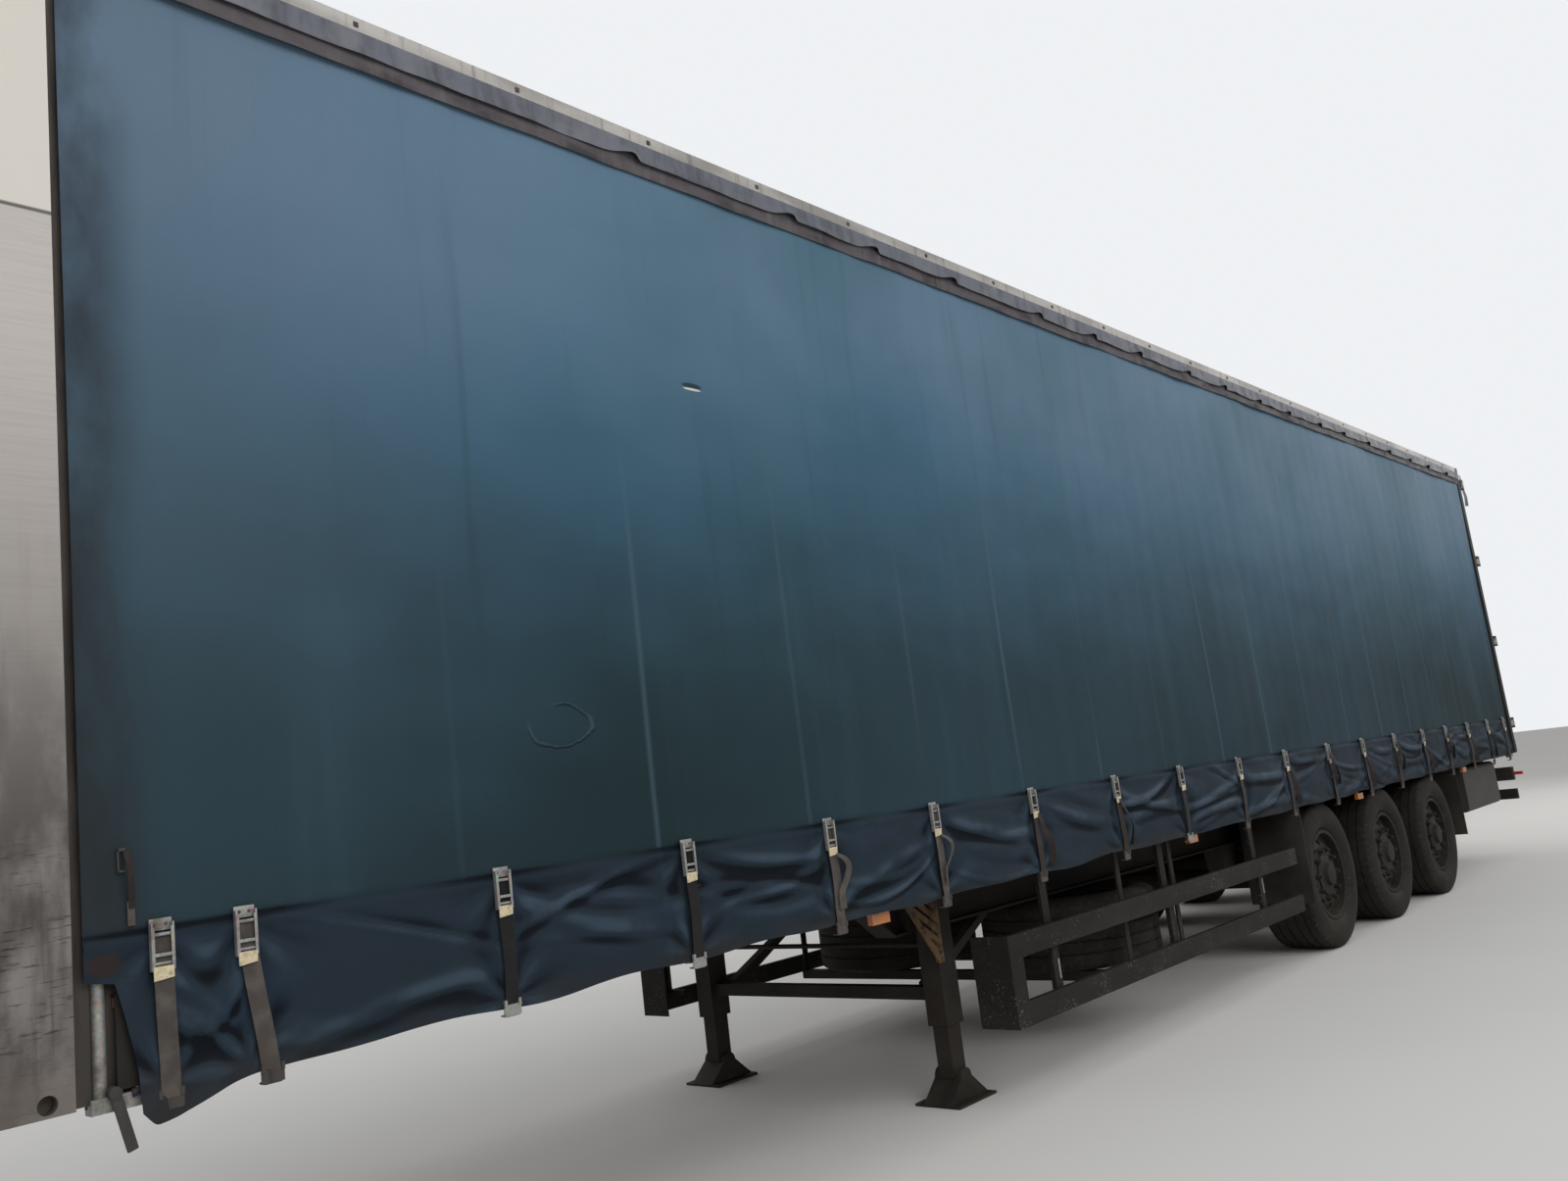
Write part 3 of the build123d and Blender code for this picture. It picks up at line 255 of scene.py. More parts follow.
def copy_of(piece, place):
    """A copy with its own mesh, placed by a matrix that goes into the mesh."""
    twin = piece.copy()
    twin.data = piece.data.copy()
    bpy.context.scene.collection.objects.link(twin)
    twin.data.transform(place)
    if place.determinant() < 0:
        twin.data.flip_normals()
    return twin


def repeat(piece, places, name):
    """One piece at each of several places, joined."""
    whole = join([copy_of(piece, place) for place in places], name)
    bpy.data.objects.remove(piece)
    return whole


def smooth(piece, angle=40):
    """Shades a piece smooth below an angle."""
    make_active(piece)
    bpy.ops.object.shade_smooth_by_angle(angle=math.radians(angle))
    return piece


def lay(piece, finish_name):
    """Gives a piece one finish."""
    piece.data.materials.clear()
    piece.data.materials.append(FINISHES[finish_name])


def finish(piece, finish_name, body="chassis", replaced=()):
    """Gives a piece its finish and the body that it rides on, and hides the parts that it replaces."""
    lay(piece, finish_name)
    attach(piece, body)
    if replaced:
        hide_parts(*replaced)
    return piece


def both_sides(pieces, name, finish_name):
    """Joins pieces of the left side with their mirrored copies and finishes them."""
    left = join(pieces, name)
    twin = copy_of(left, Matrix.Scale(-1, 4, (0, 1, 0)))
    return finish(smooth(join([left, twin], name)), finish_name)


def on_side(side, s, z=0.0):
    """Places a piece that was made facing out of the left side at a station and height of either side."""
    turn = Matrix.Identity(4) if side > 0 else Matrix.Rotation(math.pi, 4, "Z")
    return Matrix.Translation((FRONT_POST_X - s, 0.0, z)) @ turn


def moved(piece, place):
    """Moves a piece's mesh by a matrix."""
    piece.data.transform(place)
    return piece


def tilted(piece, x, y, z, degrees):
    """Tips a piece about Y and moves it to its place."""
    return moved(piece, Matrix.Translation((x, y, z)) @ Matrix.Rotation(math.radians(degrees), 4, "Y"))


def cloth_grid(name, columns, rows):
    """A flat grid of cloth, with the column and row of each of its corners."""
    deselect_all()
    bpy.ops.mesh.primitive_grid_add(x_subdivisions=columns, y_subdivisions=rows, size=2)
    piece = named(bpy.context.object, name)
    points = np.empty(len(piece.data.vertices) * 3)
    piece.data.vertices.foreach_get("co", points)
    across, along = (points.reshape(-1, 3)[:, :2].T + 1) / 2
    return piece, np.rint(across * columns).astype(int), np.rint(along * rows).astype(int)


def set_points(piece, points):
    """Moves every corner of a mesh."""
    piece.data.vertices.foreach_set("co", np.asarray(points, float).reshape(-1))
    piece.data.update()


def side_sheet(piece, side, s, y, z, thickness):
    """Shapes a grid as cloth on one side, from each corner's station, distance out and height."""
    set_points(piece, np.stack([FRONT_POST_X - s, side * y, z], axis=1))
    edit(piece, bpy.ops.mesh.normals_make_consistent, inside=False)
    smooth(thicken(piece, thickness), 60)


def ribbon(path, width, thickness, twist=0.0):
    """Webbing along a path of points, its width set along the trailer and turned evenly by a twist."""
    path = np.array(path, float)
    piece, column, row = cloth_grid("ribbon", 2, len(path) - 1)
    runs = np.gradient(path, axis=0)
    runs /= np.linalg.norm(runs, axis=1)[:, None]
    points = np.empty((len(column), 3))
    for n, (place, run) in enumerate(zip(path, runs)):
        run = Vector(run)
        side = (Vector((1, 0, 0)) - run * run.x).normalized()
        side = Matrix.Rotation(twist * n / (len(path) - 1), 3, run) @ side
        picked = row == n
        points[picked] = place + np.outer((column[picked] / 2 - 0.5) * width, side)
    set_points(piece, points)
    return smooth(thicken(piece, thickness))


def waves(u, v, seed, count):
    """Soft irregular swells over a surface, from about minus one to one, the same each run."""
    dice = np.random.default_rng(seed)
    total = np.zeros(np.broadcast(u, v).shape)
    for _ in range(count):
        turn = dice.uniform(0, 2 * math.pi)
        pitch = dice.uniform(0.6, 2.2) * 2 * math.pi
        phase = dice.uniform(0, 2 * math.pi)
        total = total + np.sin(pitch * (u * math.cos(turn) + v * math.sin(turn)) + phase)
    return total / math.sqrt(count)


def bell(gap, width):
    """A bell curve: one in the middle, near zero two widths away."""
    return np.exp(-((gap / width) ** 2))


def rise(gap, length):
    """Rises from zero to one over a length, and stays there."""
    return np.clip(gap / length, 0.0, 1.0)


# Shader helpers

def is_socket(value):
    """Tells a node's output from a plain value."""
    return isinstance(value, bpy.types.NodeSocket)


def put(socket, value):
    """Links an output to a socket, or sets the socket's own value."""
    if is_socket(value):
        socket.id_data.links.new(value, socket)
    elif socket.type == "RGBA":
        socket.default_value = (*value[:3], 1.0)
    else:
        socket.default_value = value


def add(tree, kind, sockets=None, **settings):
    """Adds a shader node, and fills its sockets by name or number."""
    node = tree.nodes.new(kind)
    for name, value in settings.items():
        setattr(node, name, value)
    for name, value in (sockets or {}).items():
        put(node.inputs[name], value)
    return node


def blend_colours(tree, factor, first, second, kind="MIX"):
    """Mixes two colours by a factor."""
    sockets = {0: factor, 6: first, 7: second}
    return add(tree, "ShaderNodeMix", sockets, data_type="RGBA", blend_type=kind).outputs[2]


def calculate(operation, *values):
    """One step of arithmetic, of which at least one value is a node's output."""
    tree = next(value.id_data for value in values if is_socket(value))
    return add(tree, "ShaderNodeMath", dict(enumerate(values)), operation=operation).outputs[0]


def times(first, *others):
    """The product of several values."""
    for value in others:
        first = calculate("MULTIPLY", first, value)
    return first


def away(value, middle):
    """How far a value lies from a middle."""
    return calculate("ABSOLUTE", calculate("SUBTRACT", value, middle))


def spread(value, low, high, to_low=0.0, to_high=1.0):
    """Stretches a value smoothly from one range to another."""
    return add(value.id_data, "ShaderNodeMapRange", {
        "Value": value, "From Min": low, "From Max": high, "To Min": to_low, "To Max": to_high,
    }, interpolation_type="SMOOTHSTEP").outputs["Result"]


def parts_of(vector):
    """The three parts of a place or direction."""
    return add(vector.id_data, "ShaderNodeSeparateXYZ", {"Vector": vector}).outputs


def noise(vector, scale, detail=4.0, roughness=0.55):
    """Cloudy noise."""
    return add(vector.id_data, "ShaderNodeTexNoise", {
        "Vector": vector, "Scale": scale, "Detail": detail, "Roughness": roughness,
    }).outputs["Fac"]


FINISHES = {}
GROUPS = {}


def new_group(name, output, **values):
    """A shader node group that takes a place and some values and gives one value."""
    group = GROUPS[name] = bpy.data.node_groups.new(name, "ShaderNodeTree")
    sockets = group.interface
    sockets.new_socket(name="Vector", in_out="INPUT", socket_type="NodeSocketVector")
    for socket, value in values.items():
        sockets.new_socket(name=socket, in_out="INPUT", socket_type="NodeSocketFloat").default_value = value
    sockets.new_socket(name=output, in_out="OUTPUT", socket_type="NodeSocketFloat")
    return group.nodes.new("NodeGroupInput").outputs, group.nodes.new("NodeGroupOutput").inputs[output]


def road_dust_group():
    """Dust that lies on low and upward faces, in clouds and speckles."""
    source, target = new_group("Road dust", "Mask", Amount=0.5, Top=1.3)
    place = source["Vector"]
    low = calculate("SUBTRACT", 1.0, calculate("DIVIDE", parts_of(place)["Z"], source["Top"]))
    low = calculate("MAXIMUM", low, 0.0)
    facing = add(place.id_data, "ShaderNodeNewGeometry").outputs["Normal"]
    up = spread(parts_of(facing)["Z"], 0.2, 0.95)
    clouds = spread(noise(place, 3.2, 6.0, 0.62), 0.32, 0.72)
    specks = spread(noise(place, 90.0, 3.0, 0.6), 0.48, 0.68)
    amount = calculate("ADD", calculate("ADD", times(low, 0.8), times(up, 0.7)), 0.12)
    amount = times(amount, calculate("ADD", clouds, 0.2), calculate("MULTIPLY_ADD", specks, 0.35, 0.75))
    put(target, calculate("MINIMUM", times(amount, source["Amount"]), 1.0))


def run_marks_group():
    """Dirt that has run down an upright face, in soft streaks and smears."""
    source, target = new_group("Run marks", "Mask", Width=9.0, Length=0.5, Low=0.45, High=0.75)
    parts = parts_of(source["Vector"])
    vector = add(target.id_data, "ShaderNodeCombineXYZ", {
        "X": times(parts["X"], source["Width"]), "Y": times(parts["Y"], source["Width"]),
        "Z": times(parts["Z"], source["Length"]),
    }).outputs["Vector"]
    put(target, spread(noise(vector, 1.0, 5.0, 0.6), source["Low"], source["High"]))


def weave_group():
    """Crossed threads on the two main directions of an upright or level sheet."""
    source, target = new_group("Weave", "Height", Threads=700.0)
    parts = parts_of(source["Vector"])
    level = calculate("ADD", parts["X"], parts["Y"])
    warp, weft = (calculate("SINE", times(value, source["Threads"])) for value in (level, parts["Z"]))
    put(target, times(warp, weft))


def scuffs_group():
    """Chips and rubbed spots of a hard coating."""
    source, target = new_group("Scuffs", "Mask", Scale=30.0, Amount=0.5)
    clouds = noise(source["Vector"], 5.0, 3.0)
    chips = noise(source["Vector"], source["Scale"], 6.0, 0.7)
    level = calculate("MULTIPLY_ADD", source["Amount"], -0.25, 0.95)
    put(target, add(target.id_data, "ShaderNodeMapRange", {
        "Value": calculate("MULTIPLY_ADD", clouds, 0.35, chips), "From Min": level,
        "From Max": calculate("ADD", level, 0.03),
    }).outputs["Result"])


class Coat:
    """One material as it is put together: a base, then layers over it, then its shader."""

    def __init__(self, name, colour, rough=0.6):
        material = FINISHES[name] = bpy.data.materials.new(name)
        material.use_nodes = True
        self.tree = material.node_tree
        self.tree.nodes.clear()
        self.place = add(self.tree, "ShaderNodeTexCoord").outputs["Object"]
        self.colour = colour
        self.rough = rough
        self.heights = []

    def group(self, name, **values):
        """One of the shared effects, with this material's values."""
        sockets = {"Vector": self.place, **values}
        return add(self.tree, "ShaderNodeGroup", sockets, node_tree=GROUPS[name]).outputs[0]

    def runs(self, width, length, low=0.45, high=0.75):
        """Streaks of dirt."""
        return self.group("Run marks", Width=width, Length=length, Low=low, High=high)

    def dust(self, amount, top):
        """Road dust below a height."""
        return self.group("Road dust", Amount=amount, Top=top)

    def scuffs(self, scale, amount):
        """Chips and rubbed spots."""
        return self.group("Scuffs", Scale=scale, Amount=amount)

    def weave(self, threads):
        """Woven threads."""
        return self.group("Weave", Threads=threads)

    def drawn(self, stretch):
        """The place, stretched along the axes."""
        return add(self.tree, "ShaderNodeMapping", {"Vector": self.place, "Scale": stretch}).outputs["Vector"]

    def grain(self, scale, detail=4.0, roughness=0.55, stretch=None):
        """Unevenness."""
        return noise(self.drawn(stretch) if stretch else self.place, scale, detail, roughness)

    def clouds(self, scale, low, high, detail=4.0, stretch=None):
        """A cloudy mask."""
        return spread(self.grain(scale, detail, stretch=stretch), low, high)

    def cells(self, scale, output="Distance"):
        """Irregular cells."""
        return add(self.tree, "ShaderNodeTexVoronoi", {"Vector": self.place, "Scale": scale}).outputs[output]

    def distance(self, s, z, squeeze=(1.0, 1.0)):
        """How far the side faces are from one point, squeezed along and upward."""
        parts = parts_of(self.place)
        dx = times(calculate("SUBTRACT", parts["X"], FRONT_POST_X - s), squeeze[0])
        dz = times(calculate("SUBTRACT", parts["Z"], z), squeeze[1])
        return calculate("SQRT", calculate("ADD", times(dx, dx), times(dz, dz)))

    def near(self, s, z, radius, soft=0.4, squeeze=(1.0, 1.0)):
        """A round mask on the side faces about one point."""
        return spread(self.distance(s, z, squeeze), radius * (1 - soft), radius, 1.0, 0.0)

    def layer(self, mask, share, colour, rough=None, kind="MIX"):
        """Lays a share of a colour over what is there, where a mask is set."""
        if share != 1:
            mask = times(mask, share)
        self.colour = blend_colours(self.tree, mask, self.colour, colour, kind)
        if rough is not None:
            sockets = {0: mask, 2: self.rough, 3: rough}
            self.rough = add(self.tree, "ShaderNodeMix", sockets, data_type="FLOAT").outputs[0]

    def bump(self, height, distance, strength=1.0):
        """Adds relief, in metres."""
        self.heights.append((height, distance, strength))

    def done(self, sockets):
        """Closes the material with its relief and its shader."""
        relief = {}
        for height, distance, strength in self.heights:
            bumps = {"Height": height, "Distance": distance, "Strength": strength, **relief}
            relief = {"Normal": add(self.tree, "ShaderNodeBump", bumps).outputs["Normal"]}
        values = {"Base Color": self.colour, "Roughness": self.rough, **relief, **sockets}
        shader = add(self.tree, "ShaderNodeBsdfPrincipled", values)
        add(self.tree, "ShaderNodeOutputMaterial", {"Surface": shader.outputs["BSDF"]})


# Finishes

DUST = (0.155, 0.125, 0.095)
GREASE = (0.018, 0.017, 0.016)
RUST = (0.13, 0.052, 0.025)

# The base colour, the layers (kind of mask, its values, share, colour, roughness), the relief (kind,
# its values, depth in metres, strength) and the shader's values. A base of None is one of the settings.
PLAIN_FINISHES = {
    "valance_cloth": (None, (
        ("runs", (14.0, 3.0, 0.42, 0.7), 1, (0.050, 0.054, 0.066), 0.7),
        ("clouds", (4.0, 0.5, 0.72, 6.0), 1, (0.145, 0.150, 0.170), 0.6),
    ), (("grain", (12.0, 5.0), 0.006, 0.7), ("weave", (1400.0,), 0.0002, 0.4)), {"Sheen Weight": 0.1}),
    "valance_strip_cloth": ((0.082, 0.072, 0.078), (
        ("clouds", (6.0, 0.40, 0.70, 6.0, (1.0, 1.0, 3.0)), 1, (0.045, 0.040, 0.045), 0.8),
        ("runs", (20.0, 4.0), 1, (0.110, 0.100, 0.105), 0.7),
    ), (("grain", (16.0, 5.0), 0.004, 0.7),), {"Specular IOR Level": 0.2}),
    "roof_cloth": (None, (
        ("clouds", (1.2, 0.4, 0.72, 6.0), 1, (0.30, 0.30, 0.28), 0.75),
        ("clouds", (7.0, 0.5, 0.8, 6.0, (1.0, 0.25, 1.0)), 1, (0.22, 0.215, 0.20), 0.8),
    ), (("weave", (1100.0,), 0.0002, 0.4), ("grain", (5.0,), 0.012, 0.5)), {"Sheen Weight": 0.1}),
    "aluminium": ((0.46, 0.44, 0.42), (
        ("clouds", (3.0, 0.42, 0.7, 6.0, (0.6, 2.0, 2.0)), 1, (0.30, 0.285, 0.27), 0.6),
        ("runs", (22.0, 2.5, 0.5), 0.7, (0.12, 0.115, 0.105), 0.65),
    ), (("grain", (1.0, 3.0, 0.55, (4.0, 160.0, 160.0)), 0.0004, 0.5),), {"Metallic": 0.4}),
    "lever_tab": ((0.62, 0.53, 0.36), (
        ("clouds", (60.0, 0.45, 0.75, 5.0), 1, (0.38, 0.31, 0.20), 0.55),
        ("clouds", (150.0, 0.55, 0.75), 0.8, (0.10, 0.08, 0.06), 0.7),
    ), (("grain", (260.0, 3.0), 0.0004, 0.6),), {"Metallic": 0.35}),
    "grimy_metal": ((0.050, 0.042, 0.037), (
        ("clouds", (5.0, 0.40, 0.68, 6.0, (1.0, 1.0, 0.5)), 1, (0.085, 0.072, 0.064), 0.7),
        ("runs", (40.0, 2.0), 0.7, (0.018, 0.015, 0.013), 0.8),
    ), (("grain", (120.0, 5.0), 0.0006, 0.6),), {"Specular IOR Level": 0.3}),
    # painted sunlight: the gussets' pale yellowish brown stands in for sun on the plate, under darker clouds
    # and grease
    "painted_sunlit_plate": ((0.125, 0.078, 0.036), (
        ("clouds", (14.0, 0.42, 0.68, 6.0), 1, (0.060, 0.040, 0.024), 0.85),
        ("clouds", (40.0, 0.52, 0.72, 5.0), 0.8, GREASE, 0.8),
    ), (("grain", (120.0,), 0.0008, 0.6),), {"Specular IOR Level": 0.2}),
    "rim_metal": ((0.075, 0.070, 0.064), (
        ("clouds", (9.0, 0.45, 0.62, 5.0), 1, (0.26, 0.25, 0.235), 0.4),
        ("clouds", (22.0, 0.52, 0.70, 5.0), 1, GREASE, 0.8),
    ), (("grain", (200.0, 3.0), 0.0004, 0.6),), {"Metallic": 0.4}),
    "bare_steel": ((0.20, 0.185, 0.17), (
        ("clouds", (4.0, 0.42, 0.7, 6.0), 1, RUST, 0.85),
        ("clouds", (2.0, 0.5, 0.72), 1, GREASE, 0.4),
    ), (("grain", (130.0, 5.0), 0.0012, 0.7),), {"Metallic": 0.6}),
    "frame_paint": ((0.016, 0.0145, 0.013), (
        ("clouds", (2.2, 0.4, 0.72, 6.0), 1, (0.026, 0.022, 0.019), 0.75),
        ("dust", (0.22, 1.3), 1, DUST, 0.9),
        ("scuffs", (24.0, 0.35), 0.7, RUST, 0.85),
    ), (("grain", (60.0, 5.0), 0.0012, 0.6),), {"Specular IOR Level": 0.16}),
    "guard_metal": ((0.011, 0.0102, 0.0098), (
        ("clouds", (3.0, 0.4, 0.7, 6.0, (0.5, 1.0, 2.0)), 1, (0.019, 0.0175, 0.016), 0.6),
        ("scuffs", (85.0, 0.60), 0.8, (0.16, 0.15, 0.14), 0.6),
        ("dust", (0.08, 1.0), 1, DUST, 0.9),
    ), (("grain", (90.0, 5.0), 0.001, 0.6),), {"Specular IOR Level": 0.16}),
    "wheel_paint": ((0.011, 0.011, 0.011), (
        ("clouds", (6.0, 0.42, 0.7, 6.0), 1, (0.020, 0.018, 0.016), 0.7),
        ("scuffs", (55.0, 0.5), 0.5, (0.20, 0.17, 0.14), 0.6),
        ("dust", (0.20, 1.3), 1, DUST, 0.9),
    ), (("grain", (110.0, 5.0), 0.0008, 0.6),), {"Specular IOR Level": 0.16}),
    "door_panel": ((0.36, 0.37, 0.37), (
        ("runs", (16.0, 0.8, 0.45, 0.72), 1, (0.16, 0.155, 0.145), 0.65),
        ("clouds", (1.6, 0.42, 0.72, 6.0), 1, (0.24, 0.235, 0.22), 0.6),
        ("scuffs", (40.0, 0.35), 0.8, (0.09, 0.075, 0.06), 0.8),
        ("dust", (0.8, 2.6), 1, (0.12, 0.105, 0.085), 0.9),
    ), (("grain", (20.0, 3.0), 0.001, 0.4),), {"Coat Weight": 0.1}),
    "tyre": ((0.011, 0.0105, 0.010), (
        ("clouds", (5.0, 0.35, 0.68, 6.0), 1, (0.020, 0.018, 0.016), 0.9),
        ("clouds", (34.0, 0.50, 0.72, 6.0), 1, (0.032, 0.028, 0.024), 0.95),
        ("dust", (0.20, 1.2), 0.7, DUST, 0.95),
    ), (("grain", (140.0, 6.0), 0.0012, 0.7),), {"Specular IOR Level": 0.14}),
    "rubber": ((0.014, 0.0135, 0.013), (
        ("clouds", (6.0, 0.4, 0.7, 6.0), 1, (0.026, 0.023, 0.020), 0.85),
        ("dust", (0.3, 1.3), 1, DUST, 0.95),
    ), (("grain", (80.0, 5.0), 0.001, 0.6),), {"Specular IOR Level": 0.18}),
    "black_plastic": ((0.016, 0.016, 0.017), (
        ("clouds", (7.0, 0.42, 0.72, 6.0), 1, (0.030, 0.028, 0.026), 0.65),
        ("dust", (0.35, 1.2), 1, DUST, 0.9),
    ), (("grain", (400.0, 2.0), 0.0005, 0.7),), {}),
}


def plain_finish(name, colour, layers, relief, shader):
    """Mixes one finish of the table."""
    coat = Coat(name, colour)
    for kind, values, share, tint, rough in layers:
        coat.layer(getattr(coat, kind)(*values), share, tint, rough)
    for kind, values, depth, strength in relief:
        coat.bump(getattr(coat, kind)(*values), depth, strength)
    coat.done(shader)


def webbing_finish(name, colour, pale):
    """Woven strap, with its faded colour."""
    plain_finish(name, colour, (
        ("clouds", (18.0, 0.42, 0.7, 6.0), 1, pale, 0.85),
        ("clouds", (6.0, 0.5, 0.75), 0.5, GREASE, 0.8),
    ), (("weave", (2100.0,), 0.0005, 0.9),), {"Sheen Weight": 0.06, "Specular IOR Level": 0.2})


def curtain_finish(colour):
    """Coated cloth: blue above, browned lower down and darkened there with painted shade, with streaks,
    painted light and shade on its skirt's folds, and a weld ring.
    """
    coat = Coat("curtain_cloth", colour)
    x, y, z = parts_of(coat.place)
    # the fold attribute is the tone of painted light and shade on the skirt's folds and seam groove
    fold = add(coat.tree, "ShaderNodeAttribute", attribute_name="fold").outputs["Fac"]
    wander = coat.grain(1.0, stretch=(0.40, 0.4, 0.75))
    height = calculate("MULTIPLY_ADD", wander, 2.0, calculate("SUBTRACT", z, 1.0))
    coat.layer(spread(height, 2.45, 4.0), 1, (0.100, 0.170, 0.242))
    coat.layer(coat.clouds(0.5, 0.40, 0.66, 3.0), 0.5, (0.024, 0.082, 0.104))
    # painted shade: the cloth is darkened lower down
    coat.layer(spread(height, 2.95, 1.55), 0.93, (0.017, 0.036, 0.046), 0.66)
    smudge = times(coat.clouds(0.42, 0.36, 0.68, 3.0, (1.0, 1.0, 1.7)), spread(z, 3.2, 2.0))
    coat.layer(smudge, 0.72, (0.009, 0.020, 0.022), 0.7)
    coat.layer(coat.runs(2.2, 0.22, 0.5, 0.8), 0.25, (0.044, 0.094, 0.125))
    coat.layer(coat.runs(14.0, 0.5, 0.55, 0.9), 0.28, (0.008, 0.018, 0.022))
    pale = times(spread(x, 5.0, 6.7), spread(z, 1.5, 3.6, 0.1, 1.0))
    coat.layer(pale, 0.45, (0.130, 0.165, 0.225))
    # brown grime along the front edge
    edge = times(spread(x, FRONT_POST_X - 0.24, FRONT_POST_X - 0.05),
                 coat.clouds(2.2, 0.30, 0.62, 5.0, (1.5, 1.0, 0.7)))
    coat.layer(edge, 0.75, (0.020, 0.018, 0.018), 0.75)
    # faint pale lines where the poles and straps inside rub the cloth
    spacing = 0.76
    line = away(calculate("FRACT", times(x, 1 / spacing)), 0.5)
    fade = times(spread(x, 6.2, 4.6), spread(z, 3.3, 2.2))
    lines = times(spread(line, 0.0, 0.026, 1.0, 0.0), fade,
                  coat.clouds(1.3, 0.30, 0.62, 4.0, (1.0, 1.0, 0.35)))
    coat.layer(lines, 0.50, (0.060, 0.105, 0.130))
    # the skirt: painted shade near black in its fold valleys, painted highlights of lighter blue on its
    # ridges, grey and dusty along its foot
    skirt = spread(z, 1.37, 1.33)
    coat.layer(skirt, 0.85, (0.014, 0.022, 0.033))
    coat.layer(skirt, coat.clouds(3.5, 0.46, 0.74, 6.0, (1.0, 1.0, 2.2)), (0.016, 0.028, 0.046), 0.55)
    # painted highlight: lighter blue on the ridges of the skirt's folds
    painted_ridge_highlight = times(spread(fold, 0.05, 0.85), coat.clouds(5.0, 0.25, 0.6, 5.0))
    coat.layer(painted_ridge_highlight, 0.70, (0.046, 0.074, 0.106), 0.5)
    # painted shade: near black in the valleys of the skirt's folds
    coat.layer(spread(fold, -0.06, -0.70), 0.92, (0.003, 0.005, 0.008), 0.8)
    coat.layer(spread(z, 1.06, 0.97), coat.clouds(2.5, 0.3, 0.62), (0.024, 0.025, 0.027), 0.7)
    coat.layer(coat.dust(0.5, 1.25), 0.10, (0.040, 0.037, 0.034))
    # a welded repair ring, open on its upper front side, and a torn scratch on the left side with a painted
    # shadow line just above it
    left = spread(y, 0.0, 0.1)
    wobble = times(calculate("SUBTRACT", coat.grain(11.0, 3.0), 0.5), 0.045)
    ring_radius = 0.10
    far = coat.distance(1.42, 1.78, (0.80, 1.5))
    ring = times(spread(away(calculate("ADD", far, wobble), ring_radius), 0.0, 0.014, 1.0, 0.0), left)
    rim = times(ring, calculate("SUBTRACT", 1.0, coat.near(1.34, 1.84, 0.10, 0.5)))
    coat.layer(rim, 0.40, (0.060, 0.095, 0.110), 0.35)
    # painted shadow: a dark line just above the scratch
    shade = times(coat.near(2.17, 3.022, 0.062, 0.4, (1.0, 5.0)), left)
    coat.layer(shade, 0.8, (0.010, 0.018, 0.022))
    coat.layer(coat.near(2.17, 3.008, 0.052, 0.3, (1.0, 9.0)), left, (0.50, 0.50, 0.44), 0.5)
    # a brown stain beside the first buckle
    coat.layer(coat.near(0.07, 1.285, 0.05, 0.5, (1.0, 1.5)), 0.8, (0.032, 0.020, 0.018), 0.8)
    coat.bump(rim, 0.010)
    coat.bump(coat.weave(1400.0), 0.0002, 0.5)
    coat.bump(coat.grain(9.0, 5.0, 0.6), 0.006, 0.6)
    coat.done({"Specular IOR Level": 0.10})


def post_finish():
    """Brushed metal of the front posts: pale above its joint, grimy and cracked towards the foot."""
    post = Coat("post_metal", (0.46, 0.43, 0.405))
    z = parts_of(post.place)["Z"]
    joint_z = 3.1
    brushed = post.grain(1.0, stretch=(5.0, 5.0, 170.0))
    post.layer(spread(brushed, 0.35, 0.7), 0.22, (0.27, 0.25, 0.235), 0.5)
    post.layer(spread(z, joint_z - 0.002, joint_z + 0.004), 0.85, (0.60, 0.57, 0.52), 0.6)
    post.layer(spread(away(z, joint_z), 0.008, 0.002), 0.8, (0.055, 0.050, 0.046), 0.8)
    post.layer(spread(z, 3.0, 1.5), 0.8, (0.150, 0.136, 0.127), 0.6)
    grime = times(spread(z, 2.3, 1.35), post.clouds(5.5, 0.30, 0.62, 6.0, (1.6, 1.6, 0.8)))
    post.layer(grime, 0.85, (0.034, 0.029, 0.027), 0.7)
    post.layer(spread(z, 1.16, 1.02), 0.6, (0.150, 0.125, 0.108), 0.7)
    cracks = times(spread(post.grain(1.0, 6.0, 0.7, (16.0, 16.0, 150.0)), 0.56, 0.66), spread(z, 1.75, 1.35))
    post.layer(cracks, spread(z, 1.05, 1.2, 0.15, 0.7), (0.012, 0.011, 0.010), 0.8)
    post.layer(post.runs(22.0, 1.0, 0.52, 0.72), spread(z, 2.6, 1.2, 0.0, 0.6), (0.030, 0.027, 0.025), 0.7)
    post.bump(brushed, 0.0005, 0.4)
    post.bump(cracks, 0.0008, 0.5)
    post.done({"Metallic": 0.35})


